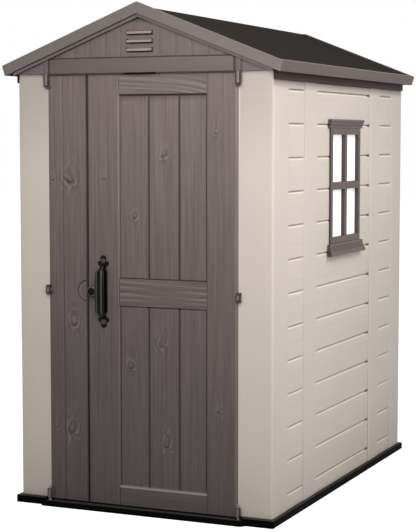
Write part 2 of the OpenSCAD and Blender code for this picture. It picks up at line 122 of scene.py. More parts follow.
def ease(t: float) -> float:
    """Smooth step from 0 to 1."""
    t = min(max(t, 0.0), 1.0)
    return t * t * (3 - 2 * t)


def dent(t: float) -> float:
    """Rounded V: 1 at t = 0, and 0 from t = -1 and t = 1 outwards."""
    return ease(1 - abs(t))


def notch(value: float, centre: float, half: float) -> float:
    """Rounded groove: 1 at its centre and 0 from its half width outwards."""
    return dent((value - centre) / half)


def near(place: float, *offsets: float) -> list[float]:
    """Gives the places that lie some millimetres before or after a place."""
    return [place + offset * MM for offset in offsets]


def spread(start: float, end: float, step: float, marks: Sequence[float] = ()) -> list[float]:
    """Lays grid lines between two ends, with extra ones at marks.

    Args:
        start: First line.
        end: Last line.
        step: Widest spacing between two lines.
        marks: Places that need a line of their own.

    Returns:
        Sorted lines, none nearer than 0.15 mm to the next.
    """
    fixed = sorted({start, end, *(m for m in marks if start < m < end)})
    tidy = [fixed[0]]
    for value in fixed[1:]:
        if value - tidy[-1] > 0.15 * MM:
            tidy.append(value)
    tidy[-1] = end
    lines = [tidy[0]]
    for low, high in zip(tidy, tidy[1:]):
        count = max(1, math.ceil((high - low) / step - 1e-6))
        lines += [low + (high - low) * i / count for i in range(1, count + 1)]
    return lines


def mesh_object(
    name: str, points: Sequence[Point], faces: Sequence[Sequence[int]], sharp: float = 32
) -> Object:
    """Makes a smooth-shaded mesh object with its creases kept sharp.

    Args:
        name: Name of the piece.
        points: Corners.
        faces: Corner numbers of each face.
        sharp: Angle in degrees above which an edge stays sharp.

    Returns:
        The object, linked to the scene.
    """
    mesh = bpy.data.meshes.new(name)
    mesh.from_pydata(points, [], faces)
    return finish_mesh(name, mesh, sharp)


def finish_mesh(name: str, mesh: Mesh, sharp: float = 32) -> Object:
    """Shades a mesh smooth with sharp creases and links it as an object.

    Args:
        name: Name of the piece.
        mesh: Mesh that the object shows.
        sharp: Angle in degrees above which an edge stays sharp.

    Returns:
        The object, linked to the scene.
    """
    mesh.validate()
    mesh.shade_smooth()
    mesh.set_sharp_from_angle(angle=math.radians(sharp))
    obj = bpy.data.objects.new(name, mesh)
    bpy.context.scene.collection.objects.link(obj)
    return obj


@contextmanager
def editing(mesh: Mesh) -> Iterator[bmesh.types.BMesh]:
    """Opens a mesh for changes, and stores them at the end.

    Args:
        mesh: Mesh that is changed.

    Yields:
        The mesh in its open form.
    """
    bm = bmesh.new()
    bm.from_mesh(mesh)
    yield bm
    bm.to_mesh(mesh)
    bm.free()


def weld(obj: Object, distance: float = 0.02 * MM) -> Object:
    """Merges corners that fall on each other and drops the faces that vanish.

    Args:
        obj: Mesh object that is changed.
        distance: Corners nearer than this become one.

    Returns:
        The same object.
    """
    with editing(obj.data) as bm:
        bmesh.ops.remove_doubles(bm, verts=bm.verts, dist=distance)
        bmesh.ops.dissolve_degenerate(bm, dist=distance, edges=bm.edges)
        loose = [v for v in bm.verts if not v.link_faces]
        bmesh.ops.delete(bm, geom=loose, context="VERTS")
    return obj


def outward(obj: Object) -> Object:
    """Turns every face of a closed piece to the outside.

    Args:
        obj: Mesh object that is changed.

    Returns:
        The same object.
    """
    with editing(obj.data) as bm:
        bmesh.ops.recalc_face_normals(bm, faces=bm.faces)
    return obj


def bevel(obj: Object, width: float, segments: int = 2) -> Object:
    """Rounds the sharp edges of a piece with a modifier.

    Args:
        obj: Piece, or a CAD node that stays as it is under the modifier.
        width: Width of the rounding.
        segments: Steps in the rounding.

    Returns:
        The same object.
    """
    # The faces of a CAD node arrive unjoined, and only a joined edge can be rounded
    joiner = obj.modifiers.new("joined faces", "WELD")
    joiner.merge_threshold = 0.01 * MM
    rounder = obj.modifiers.new("rounded edges", "BEVEL")
    rounder.width = width
    rounder.segments = segments
    rounder.limit_method = "ANGLE"
    rounder.angle_limit = math.radians(40)
    rounder.harden_normals = True
    return obj


def wear_down(obj: Object, values: Sequence[float]) -> Object:
    """Stores how worn a piece is, with painted light: above 0 rubbed pale or a painted highlight,
    below 0 dark with dirt or painted shade.

    Args:
        obj: Mesh object that is changed.
        values: Wear of each of its corners.

    Returns:
        The same object.
    """
    layer = obj.data.attributes.new("wear", "FLOAT", "POINT")
    layer.data.foreach_set("value", values)
    return obj


def tint(obj: Object, wear: float) -> Object:
    """Gives a whole piece one wear value."""
    return wear_down(obj, [wear] * len(obj.data.vertices))


def block(name: str, corner: Point, opposite: Point, rounding: float) -> Object:
    """Makes a block with rounded edges.

    Args:
        name: Name of the piece.
        corner: One corner.
        opposite: The corner across from it.
        rounding: Width of the rounding of its edges.

    Returns:
        The object.
    """
    middle = [(a + b) / 2 for a, b in zip(corner, opposite)]
    sides = [abs(b - a) for a, b in zip(corner, opposite)]
    place = Matrix.Translation(middle) @ Matrix.Diagonal((*sides, 1))
    mesh = bpy.data.meshes.new(name)
    with editing(mesh) as bm:
        bmesh.ops.create_cube(bm, size=1, matrix=place)
        bmesh.ops.bevel(
            bm, geom=bm.edges[:], offset=rounding, segments=3, profile=0.5, affect="EDGES"
        )
    return finish_mesh(name, mesh)


def lathe(name: str, profile: Outline, place: Matrix, segments: int = 32) -> Object:
    """Turns a profile about an axis.

    Args:
        name: Name of the piece.
        profile: Radius and height of each point, from foot to top, on the axis at both ends.
        place: Puts the turned piece, made about Z, into the frame.
        segments: Steps round the axis.

    Returns:
        The object.
    """
    mesh = bpy.data.meshes.new(name)
    with editing(mesh) as bm:
        rim = [bm.verts.new((r, 0, h)) for r, h in profile]
        edges = [bm.edges.new(pair) for pair in zip(rim, rim[1:])]
        turn = {"cent": (0, 0, 0), "axis": (0, 0, 1), "angle": math.tau}
        bmesh.ops.spin(bm, geom=rim + edges, steps=segments, use_merge=True, **turn)
        bmesh.ops.remove_doubles(bm, verts=bm.verts, dist=0.005 * MM)
        bmesh.ops.recalc_face_normals(bm, faces=bm.faces)
        bm.transform(place)
    return finish_mesh(name, mesh)


def plate(
    name: str, outlines: Sequence[Outline], thickness: float, rounding: float, place: Matrix
) -> Object:
    """Cuts a flat plate from outlines, with holes where one lies inside another.

    Args:
        name: Name of the piece.
        outlines: Closed outlines in the plate's own X and Y.
        thickness: Thickness, centred on the plate's own plane.
        rounding: Width of the rounding along the edges.
        place: Puts the plate into the frame.

    Returns:
        The object.
    """
    curve = bpy.data.curves.new(name, "CURVE")
    curve.dimensions = "2D"
    curve.fill_mode = "BOTH"
    curve.extrude = thickness / 2 - rounding
    curve.bevel_depth = rounding
    curve.bevel_resolution = 1
    curve.offset = -rounding
    for outline in outlines:
        spline = curve.splines.new("POLY")
        spline.points.add(len(outline) - 1)
        for point, (x, y) in zip(spline.points, outline):
            point.co = (x, y, 0, 1)
        spline.use_cyclic_u = True
    holder = bpy.data.objects.new(name, curve)
    mesh = bpy.data.meshes.new_from_object(holder)
    bpy.data.objects.remove(holder)
    bpy.data.curves.remove(curve)
    mesh.transform(place)
    return weld(finish_mesh(name, mesh, 38), 0.01 * MM)


def join(name: str, objects: Sequence[Object]) -> Object:
    """Joins pieces of one material into a single piece.

    Args:
        name: Name of the joined piece.
        objects: Mesh objects, which are used up.

    Returns:
        The joined object.
    """
    first = objects[0]
    chosen = {"active_object": first, "selected_editable_objects": list(objects)}
    with bpy.context.temp_override(**chosen):
        bpy.ops.object.join()
    first.name = first.data.name = name
    return first


# ---- Finishes --------------------------------------------------------------


class Grain(Enum):
    """Where a moulded wood grain takes its direction from."""

    BOARDS = "boards"
    ALONG_X = "x"
    ALONG_Y = "y"
    ALONG_Z = "z"


@dataclass(frozen=True)
class Hues:
    """Colours of a worn resin, as sRGB hex values."""

    clean: str
    # The dirt colour also serves painted shade, and the rubbed colour painted highlights
    dirt: str
    rubbed: str


def blank(name: str) -> tuple[Material, NodeTree, Node, NodeSocket]:
    """Starts a material.

    Args:
        name: Name of the material.

    Returns:
        The material, its node tree, its shader and the place on the object as a socket.
    """
    material = bpy.data.materials.new(name)
    material.use_nodes = True
    tree = material.node_tree
    return material, tree, tree.nodes["Principled BSDF"], node(tree, "TexCoord", {}, "Object")


@dataclass(frozen=True)
class GrainedPolypropylene:
    """Polypropylene moulded in a tool that was cut with wood grain.

    The eye sees a matt, slightly chalky resin with shallow streaks that catch the light, darker
    dirt and painted shade in the grooves, paler rubbed edges and painted highlights, and painted
    shade on faces that look down and towards the foot.
    """

    name: str
    hues: Hues
    grain: Grain
    # Streaks 9 mm apart and 0.4 m long, coarser than real ones so that they show
    line_mm: float = 9.0
    run_mm: float = 420.0
    depth_mm: float = 0.2
    contrast: float = 0.07
    roughness: float = 0.5
    gloss: float = 0.22
    # Painted shade: the colour darkens towards the foot, up to shade_top
    foot_shade: float = 1.0
    # Painted shade on faces that look down
    under: float = 0.0
    # Painted shade on faces that look along the wall
    reveal: float = 0.0
    fine: float = 2.9
    patches: Point = (2.2, 2.2, 1.1)
    # Pores of about 1 mm, coarser than real ones so that they show
    pores: Point = (900.0, 900.0, 900.0)
    shade_top: float = 1.9

    def build(self) -> Material:
        """Makes the material.

        Returns:
            The material with its nodes.
        """
        material, tree, shader, place = blank(self.name)
        where = self._grain_place(tree, place)
        stretch = (1000 / self.line_mm, 1000 / self.run_mm, 1.0)
        lines = self._noise(tree, where, stretch, 3.0)
        fine = self._noise(tree, where, tuple(self.fine * s for s in stretch), 2.0)
        cloud = self._noise(tree, place, self.patches, 2.0)
        streak = node(tree, "Mix", {0: 0.35, 2: lines, 3: fine})
        base = self._tone(tree, streak, cloud, place)
        wear = node(tree, "Attribute", {}, "Fac", attribute_name="wear")
        base = self._worn(tree, base, wear, 1.0, self.hues.rubbed)
        base = self._worn(tree, base, wear, -1.0, self.hues.dirt)
        # Painted shade on faces that look down, in the dirt colour
        facing = node(tree, "NewGeometry", {}, "True Normal")
        looks_up = node(tree, "SeparateXYZ", {0: facing}, 2)
        below = node(tree, "MapRange", {0: looks_up, 1: -0.7, 2: -0.4, 3: self.under, 4: 0.0})
        base = self._worn(tree, base, below, 1.0, self.hues.dirt)
        # Painted shade on faces that look along the wall, such as the reveals round the panes
        if self.reveal:
            looks_right = node(tree, "SeparateXYZ", {0: facing}, 0)
            out = node(tree, "Math", {0: looks_right}, operation="ABSOLUTE")
            reveal_shading = node(tree, "MapRange", {0: out, 1: 0.3, 2: 0.7, 3: self.reveal, 4: 0.0})
            base = self._worn(tree, base, reveal_shading, 1.0, self.hues.dirt)
        dull, sheen = self.roughness + 0.05, self.roughness - 0.05
        rough = node(tree, "MapRange", {0: streak, 1: 0.3, 2: 0.7, 3: dull, 4: sheen})
        pores = self._noise(tree, place, self.pores, 1.0)
        relief = node(tree, "Mix", {0: 0.12, 2: streak, 3: pores})
        depth = self.depth_mm * MM
        bump = node(tree, "Bump", {"Strength": 1.0, "Distance": depth, "Height": relief})
        plug(tree, shader, {"Base Color": base, "Roughness": rough, "Normal": bump})
        # Polypropylene: refractive index near 1.49, no metal in it, dulled by chalking
        plug(tree, shader, {"IOR": 1.49, "Specular IOR Level": self.gloss})
        return material

    def _tone(
        self, tree: NodeTree, streak: NodeSocket, cloud: NodeSocket, place: NodeSocket
    ) -> NodeSocket:
        """Colours the clean resin: streaks of grain, paler patches and a darker foot.

        Args:
            tree: Node tree of the material.
            streak: Pattern of the grain.
            cloud: Pattern of the patches.
            place: Place on the object.

        Returns:
            Output socket with the colour.
        """
        plain = node(tree, "Attribute", {}, "Fac", attribute_name="smooth")
        least = {0: plain, 1: -self.contrast * 2.6, 2: self.contrast * 3}
        swing = node(tree, "Math", least, operation="MULTIPLY_ADD")
        centred = node(tree, "Math", {0: streak, 1: 0.5}, operation="SUBTRACT")
        tone = node(tree, "Math", {0: centred, 1: swing, 2: 1.0}, operation="MULTIPLY_ADD")
        patch = node(tree, "MapRange", {0: cloud, 1: 0.3, 2: 0.7, 3: 0.965, 4: 1.035})
        height = node(tree, "SeparateXYZ", {0: place}, 2)
        rise = {0: height, 1: 0.0, 2: self.shade_top, 3: self.foot_shade, 4: 1.0}
        for factor in (patch, node(tree, "MapRange", rise)):
            tone = node(tree, "Math", {0: tone, 1: factor}, operation="MULTIPLY")
        grey = node(tree, "CombineColor", {0: tone, 1: tone, 2: tone})
        both = {0: 1.0, 6: linear(self.hues.clean), 7: grey}
        return node(tree, "Mix", both, 2, data_type="RGBA", blend_type="MULTIPLY")

    def _grain_place(self, tree: NodeTree, place: NodeSocket) -> NodeSocket:
        """Gives the grain's own coordinates: across, along and board.

        Args:
            tree: Node tree of the material.
            place: Place on the object.

        Returns:
            Output socket with the coordinates.
        """
        if self.grain is Grain.BOARDS:
            return node(tree, "Attribute", {}, "Vector", attribute_name="grain")
        order = {Grain.ALONG_X: "ZXY", Grain.ALONG_Y: "ZYX", Grain.ALONG_Z: "XZY"}[self.grain]
        across, along, third = (node(tree, "SeparateXYZ", {0: place}, axis) for axis in order)
        board = node(tree, "Math", {0: third, 1: 60.0}, operation="MULTIPLY")
        return node(tree, "CombineXYZ", {0: across, 1: along, 2: board})

    @staticmethod
    def _noise(tree: NodeTree, place: NodeSocket, scale: Point, detail: float) -> NodeSocket:
        """Adds a noise stretched by its own scale along each axis.

        Args:
            tree: Node tree of the material.
            place: Coordinates of the noise.
            scale: Scale along each of them.
            detail: How many finer layers it has.

        Returns:
            Output socket with the noise.
        """
        where = node(tree, "VectorMath", {0: place, 1: scale}, operation="MULTIPLY")
        layers = {"Vector": where, "Scale": 1.0, "Detail": detail, "Roughness": 0.55}
        return node(tree, "TexNoise", layers)

    @staticmethod
    def _worn(
        tree: NodeTree, base: NodeSocket, wear: NodeSocket, sign: float, colour: str
    ) -> NodeSocket:
        """Mixes in the colour of rubbed edges and painted highlights, or of dirt and painted shade.

        Args:
            tree: Node tree of the material.
            base: Colour so far.
            wear: The mesh's wear value, above 0 where rubbed or given a painted highlight, below 0
                where dirty or given painted shade.
            sign: 1 for the rubbed colour and painted highlights, -1 for the dirt and painted shade.
            colour: Colour that is mixed in.

        Returns:
            Output socket with the new colour.
        """
        amount = node(tree, "Math", {0: wear, 1: sign}, operation="MULTIPLY", use_clamp=True)
        return node(tree, "Mix", {0: amount, 6: base, 7: linear(colour)}, 2, data_type="RGBA")


@dataclass(frozen=True)
class TexturedResin:
    """Moulded black resin with a fine spark-eroded texture.

    The eye sees a dark satin with a soft, slightly uneven sheen and faint dust.
    """

    name: str
    colour: str
    dust: str
    # The grit is coarser than a real one, so that it shows
    grit_mm: float
    depth_mm: float
    roughness: float
    gloss: float
    top_dust_and_sheen: float = 0.0
    # The rubbed colour also gives the painted highlights on the hardware
    rubbed: str = "#B5B2AE"
    top_dust_and_sheen_colour: str = "#6B6662"

    def build(self) -> Material:
        """Makes the material.

        Returns:
            The material with its nodes.
        """
        material, tree, shader, place = blank(self.name)
        scale = 1000 / self.grit_mm
        grit = node(tree, "TexNoise", {"Vector": place, "Scale": scale, "Detail": 3.0})
        cloud = node(tree, "TexNoise", {"Vector": place, "Scale": 3.0, "Detail": 3.0})
        dusty = node(tree, "MapRange", {0: cloud, 1: 0.35, 2: 0.75, 3: 0.0, 4: 0.35})
        layers = [
            (dusty, self.dust),
            (node(tree, "Attribute", {}, "Fac", attribute_name="wear"), self.rubbed),
        ]
        # Dust on upward faces, which also stands as a painted highlight along the top edges
        if self.top_dust_and_sheen:
            facing = node(tree, "NewGeometry", {}, "Normal")
            level = node(tree, "SeparateXYZ", {0: facing}, 2)
            lies = node(tree, "MapRange", {0: level, 1: 0.4, 2: 0.9, 3: 0.0, 4: self.top_dust_and_sheen})
            layers.append((lies, self.top_dust_and_sheen_colour))
        base = linear(self.colour)
        for amount, colour in layers:
            base = node(tree, "Mix", {0: amount, 6: base, 7: linear(colour)}, 2, data_type="RGBA")
        sheen, dull = self.roughness - 0.08, self.roughness + 0.08
        rough = node(tree, "MapRange", {0: grit, 1: 0.3, 2: 0.7, 3: sheen, 4: dull})
        bump = node(tree, "Bump", {"Strength": 1.0, "Distance": self.depth_mm * MM, "Height": grit})
        plug(tree, shader, {"Base Color": base, "Roughness": rough, "Normal": bump})
        # Resin and lacquer alike: refractive index near 1.49
        plug(tree, shader, {"IOR": 1.49, "Specular IOR Level": self.gloss})
        return material


@dataclass(frozen=True)
class FrostedPolystyrene:
    """Frosted polystyrene sheet, pressed with fine upright reeds.

    The eye sees a bright milky pane with faint upright streaks.
    """

    name: str = "frosted polystyrene pane"
    colour: str = "#FBFCFD"
    shade: str = "#F1F3F5"
    reed_mm: float = 14.0
    # Painted light: the pane glows by emission, standing in for daylight scattered through the
    # milky sheet
    glow: float = 0.38

    def build(self) -> Material:
        """Makes the material.

        Returns:
            The material with its nodes.
        """
        material, tree, shader, place = blank(self.name)
        stretch = (20.0, 1000 / self.reed_mm, 2.5)
        where = node(tree, "VectorMath", {0: place, 1: stretch}, operation="MULTIPLY")
        reeds = node(tree, "TexNoise", {"Vector": where, "Scale": 1.0, "Detail": 2.0})
        both = {0: reeds, 6: linear(self.shade), 7: linear(self.colour)}
        milky = node(tree, "Mix", both, 2, data_type="RGBA")
        rough = node(tree, "MapRange", {0: reeds, 3: 0.28, 4: 0.42})
        bump = node(tree, "Bump", {"Strength": 0.6, "Distance": 0.3 * MM, "Height": reeds})
        plug(tree, shader, {"Base Color": milky, "Roughness": rough, "Normal": bump})
        plug(tree, shader, {"Emission Color": milky, "Emission Strength": self.glow})
        # Polystyrene: refractive index near 1.59
        plug(tree, shader, {"IOR": 1.59})
        return material


@dataclass(frozen=True)
class GalvanisedSteel:
    """Hot-dip galvanised steel.

    The eye sees a dull blue-grey metal with the flat, leafy patches of zinc spangle.
    """

    name: str = "galvanised steel"
    colour: str = "#A9AEB2"
    shade: str = "#8E9499"
    spangle_mm: float = 12.0

    def build(self) -> Material:
        """Makes the material.

        Returns:
            The material with its nodes.
        """
        material, tree, shader, place = blank(self.name)
        cells = {"Vector": place, "Scale": 1000 / self.spangle_mm}
        level = node(tree, "RGBToBW", {0: node(tree, "TexVoronoi", cells, "Color")})
        both = {0: level, 6: linear(self.shade), 7: linear(self.colour)}
        base = node(tree, "Mix", both, 2, data_type="RGBA")
        rough = node(tree, "MapRange", {0: level, 3: 0.38, 4: 0.55})
        bump = node(tree, "Bump", {"Strength": 0.3, "Distance": 0.1 * MM, "Height": level})
        plug(tree, shader, {"Base Color": base, "Roughness": rough, "Normal": bump})
        plug(tree, shader, {"Metallic": 1.0})
        return material


class Finishes:
    """Every material of the shed, made once."""

    def __init__(self) -> None:
        """Builds the materials."""
        brown, beige = Hues("#776C6A", "#2A2422", "#B3A7A3"), Hues("#D0C6BB", "#7F766C", "#F3EAE0")
        fascia_with_shade, beam = Hues("#736A68", "#191514", "#B3A7A3"), Hues("#3C2F25", "#241F1E", "#6A605C")
        trim = Hues("#574B46", "#241F1E", "#8E837F")
        along_x, along_y, along_z = Grain.ALONG_X, Grain.ALONG_Y, Grain.ALONG_Z
        # The darker foot of these finishes is painted shade
        bold = {"contrast": 0.42, "depth_mm": 0.35, "foot_shade": 0.4}
        faint = {"contrast": 0.075, "line_mm": 7.0, "depth_mm": 0.3, "foot_shade": 0.92}
        self.boards_brown = self._wood("brown boards", brown, Grain.BOARDS, **bold)
        # The fascia's near-black dirt colour gives painted shade on its undersides
        self.fascia = self._wood("brown fascia with dirt beneath", fascia_with_shade, along_x, under=1.0)
        # The beam's darker browns are a shaded copy of the brown: painted shade under the eaves
        self.beam = self._wood("brown beam dulled under the eaves", beam, along_y, gloss=0.05)
        self.trim = self._wood("dark brown trim", trim, along_y, under=0.8)
        sash = "dark brown window frame with dirt round the panes"
        self.sash = self._wood(sash, trim, along_z, under=0.8, reveal=0.4)
        self.brown_x = self._wood("brown, grain along x", brown, along_x, foot_shade=0.52)
        self.brown_z = self._wood("brown, grain along z", brown, along_z, foot_shade=0.52)
        self.boards_beige = self._wood("beige boards", beige, Grain.BOARDS, **faint)
        pale = {"contrast": 0.03, "depth_mm": 0.15}
        self.beige_z = self._wood("beige, grain upright", beige, along_z, **pale)
        resin = "moulded polypropylene, "
        tray = ("#070606", "#0C0B0B", 2.5, 0.2, 0.7, 0.015)
        self.roof = TexturedResin(
            resin + "roof black", "#1C1713", "#241E1A", 3.0, 0.3, 0.8, 0.02
        ).build()
        self.tray = TexturedResin(resin + "floor black", *tray).build()
        self.floor = TexturedResin(resin + "floor black with dust on top", *tray, 0.26).build()
        self.hardware = TexturedResin(
            "powder-coated cast zinc, black", "#0A0909", "#100F0E", 1.5, 0.05, 0.24, 0.09
        ).build()
        self.pane = FrostedPolystyrene().build()
        self.steel = GalvanisedSteel().build()

    @staticmethod
    def _wood(name: str, hues: Hues, grain: Grain, **rest: float) -> Material:
        """Makes one of the wood-grained finishes, named after its resin."""
        return GrainedPolypropylene(f"moulded polypropylene, {name}", hues, grain, **rest).build()


def dress(obj: Object, material: Material) -> Object:
    """Gives a piece, or a CAD node, one material.

    Args:
        obj: Piece whose material slots are filled.
        material: The material.

    Returns:
        The same object.
    """
    if not obj.material_slots:
        obj.data.materials.append(material)
    for place in obj.material_slots:
        place.material = material
    return obj


def settle(
    obj: Object, material: Material, body: str, stands_for: Sequence[str] = ()
) -> Object:
    """Dresses a new piece and ties it to the frame.

    Args:
        obj: The new piece.
        material: Its material.
        body: CAD body that it rides on.
        stands_for: CAD nodes that it replaces.

    Returns:
        The same object.
    """
    dress(obj, material)
    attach(obj, body)
    if stands_for:
        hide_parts(*stands_for)
    LOG.info("%s rides on %s, %d faces", obj.name, body, len(obj.data.polygons))
    return obj


def keep(name: str, material: Material, rounding: float) -> Object:
    """Keeps a CAD node as it is, with a finish and rounded edges.

    Args:
        name: Name of the CAD node.
        material: Its finish.
        rounding: Width of the rounding of its edges.

    Returns:
        The node's object.
    """
    obj = bevel(dress(bpy.data.objects[name], material), rounding)
    LOG.info("%s stays as modelled", name)
    return obj


# ---- Moulded sheets --------------------------------------------------------


class Wall(Enum):
    """The four walls, in the order in which a path round the shed passes them."""

    FRONT = 0
    RIGHT = 1
    REAR = 2
    LEFT = 3


@dataclass(frozen=True)
class Spot:
    """A place on a path round the shed, in plan."""

    x: float
    y: float
    nx: float
    ny: float
    wall: Wall

    @property
    def u(self) -> float:
        """Distance along the wall: X at the front and rear, Y at the sides."""
        return self.x if self.wall in (Wall.FRONT, Wall.REAR) else self.y

    @property
    def from_middle(self) -> float:
        """Distance along the wall, counted from the middle both ways at the rear."""
        return abs(self.x) if self.wall is Wall.REAR else self.u


Relief = Callable[[Spot, float], float]


@dataclass
class PlanPath:
    """A run in plan along one wall, or along two round their shared corner.

    The path runs counter-clockwise seen from above, so the outside is on its right.
    """

    start: tuple[float, float]
    end: tuple[float, float]
    walls: tuple[Wall, ...]
    corner: tuple[float, float] | None = None
    radius: float = 0.0

    def __post_init__(self) -> None:
        """Works out the lengths of the path's parts."""
        stops = [self.start, self.end]
        if self.corner:
            stops.insert(1, self.corner)
        self._legs = [Vector((b[0] - a[0], b[1] - a[1])) for a, b in zip(stops, stops[1:])]
        self._first = self._legs[0].length - (self.radius if self.corner else 0)
        self._arc = self.radius * math.pi / 2 if self.corner else 0.0
        last = self._legs[1].length - self.radius if self.corner else 0.0
        self.length = self._first + self._arc + last

    @property
    def bend(self) -> tuple[float, float]:
        """Where the round corner starts and ends along the path."""
        return self._first, self._first + self._arc

    def at(self, s: float) -> Spot:
        """Finds a place on the path.

        Args:
            s: Distance from the start.

        Returns:
            The place with its outward normal.
        """
        one = self._legs[0].normalized()
        normal = Vector((one.y, -one.x))
        if s <= self._first or not self.corner:
            spot = Vector(self.start) + one * s
            return Spot(spot.x, spot.y, normal.x, normal.y, self.walls[0])
        two = self._legs[1].normalized()
        centre = Vector(self.start) + one * self._first - normal * self.radius
        if s < self._first + self._arc:
            turn = (s - self._first) / self.radius
            out = normal * math.cos(turn) + one * math.sin(turn)
            spot = centre + out * self.radius
            wall = self.walls[0] if turn < math.pi / 4 else self.walls[1]
            return Spot(spot.x, spot.y, out.x, out.y, wall)
        out = Vector((two.y, -two.x))
        spot = centre + out * self.radius + two * (s - self._first - self._arc)
        return Spot(spot.x, spot.y, out.x, out.y, self.walls[1])

    def where(self, wall: Wall, u: float) -> float:
        """Gives the distance along the path of a place on one of its walls.

        Args:
            wall: The wall.
            u: X on a front or rear wall, Y on a side wall.

        Returns:
            The distance from the start.
        """
        axis = 0 if wall in (Wall.FRONT, Wall.REAR) else 1
        if wall is self.walls[0]:
            return abs(u - self.start[axis])
        return self.length - abs(u - self.end[axis])


@dataclass
class Sheet:
    """A moulded panel: a relief on its outer face, swept along a path in plan."""

    name: str
    path: PlanPath
    s_lines: list[float]
    z_lines: list[float]
    thickness: float
    depth: Relief
    grain: Callable[[Spot, float], Point]
    wear: Relief
    smooth: Relief = lambda spot, z: 0.0
    solid: Callable[[Spot, float], bool] = lambda spot, z: True
    top: Callable[[Spot], float] = lambda spot: 1e3

    def build(self) -> Object:
        """Makes the panel as one closed mesh.

        Returns:
            The object, with its grain, wear and smooth values on the mesh.
        """
        spots = [self.path.at(s) for s in self.s_lines]
        rows = len(self.z_lines)
        total = len(spots) * rows
        outer = [self._outer(p, min(z, self.top(p))) for p in spots for z in self.z_lines]
        inner = [self._inner(p, min(z, self.top(p))) for p in spots for z in self.z_lines]
        filled = self._filled()
        faces: list[tuple[int, ...]] = []
        for i, column in enumerate(filled):
            for j, here in enumerate(column):
                if here:
                    faces += self._cell(i, j, rows, total, filled)
        obj = mesh_object(self.name, outer + inner, faces, 28)
        self._values(obj, spots, total)
        return weld(obj)

    def _outer(self, spot: Spot, z: float) -> Point:
        """Corner on the outer face."""
        sink = self.depth(spot, z)
        return spot.x - spot.nx * sink, spot.y - spot.ny * sink, z

    def _inner(self, spot: Spot, z: float) -> Point:
        """Corner on the inner face, kept inside the inner corner of a bent panel.

        Args:
            spot: Place along the path.
            z: Height of the corner.

        Returns:
            The corner.
        """
        x, y = spot.x - spot.nx * self.thickness, spot.y - spot.ny * self.thickness
        if not self.path.corner:
            return x, y, z
        cx, cy = self.path.corner
        limit_x, limit_y = (c - math.copysign(self.thickness, c) for c in (cx, cy))
        x = min(x, limit_x) if cx > 0 else max(x, limit_x)
        y = min(y, limit_y) if cy > 0 else max(y, limit_y)
        bent = spot.nx and spot.ny
        return (limit_x if bent else x), (limit_y if bent else y), z

    def _filled(self) -> list[list[bool]]:
        """Tells for each grid cell whether the panel is there.

        Returns:
            For each column of cells from the start, what its cells are from the foot up.
        """
        tops = [self.top(self.path.at(s)) for s in self.s_lines]
        heights = [(a + b) / 2 for a, b in zip(self.z_lines, self.z_lines[1:])]
        filled = []
        for i, (a, b) in enumerate(zip(self.s_lines, self.s_lines[1:])):
            spot = self.path.at((a + b) / 2)
            limit = max(tops[i], tops[i + 1])
            lows = zip(self.z_lines, heights)
            filled.append([low < limit and self.solid(spot, z) for low, z in lows])
        return filled

    def _cell(
        self, i: int, j: int, rows: int, total: int, filled: list[list[bool]]
    ) -> list[tuple[int, ...]]:
        """Lists the faces of one grid cell.

        Args:
            i: Number of the cell along the path.
            j: Number of the cell up the panel.
            rows: Number of grid lines up the panel.
            total: Number of corners on one face of the panel.
            filled: Which cells the panel fills.

        Returns:
            Outer and inner face, and the rim where the next cell is empty.
        """
        a, b, c, d = i * rows + j, (i + 1) * rows + j, (i + 1) * rows + j + 1, i * rows + j + 1
        faces = [(a, b, c, d), (d + total, c + total, b + total, a + total)]
        across, up = len(filled), rows - 1
        sides = ((i, j - 1, a, b), (i + 1, j, b, c), (i, j + 1, c, d), (i - 1, j, d, a))
        for ni, nj, p, q in sides:
            if not (0 <= ni < across and 0 <= nj < up and filled[ni][nj]):
                faces.append((q, p, p + total, q + total))
        return faces

    def _values(self, obj: Object, spots: list[Spot], total: int) -> None:
        """Stores the grain, wear and smooth values of every corner.

        Args:
            obj: The panel.
            spots: Places of the grid columns.
            total: Number of corners on one face of the panel.
        """
        places = [(p, z) for p in spots for z in self.z_lines]
        grain = [self.grain(p, z) for p, z in places]
        wear = [self.wear(p, z) for p, z in places] + [0.0] * total
        smooth = [self.smooth(p, z) for p, z in places] * 2
        layer = obj.data.attributes.new("grain", "FLOAT_VECTOR", "POINT")
        layer.data.foreach_set("vector", [c for g in grain * 2 for c in g])
        for name, values in (("wear", wear), ("smooth", smooth)):
            layer = obj.data.attributes.new(name, "FLOAT", "POINT")
            layer.data.foreach_set("value", values)


@dataclass(frozen=True)
class Knot:
    """A knot in the moulded boards, round which the grain bends."""

    x: float
    z: float
    radius: float
    rise: float = 0.9 * MM

    def away(self, x: float, z: float, stretch: float) -> float:
        """Distance from the knot, shortened along the board by a factor."""
        return math.hypot(x - self.x, (z - self.z) / stretch)


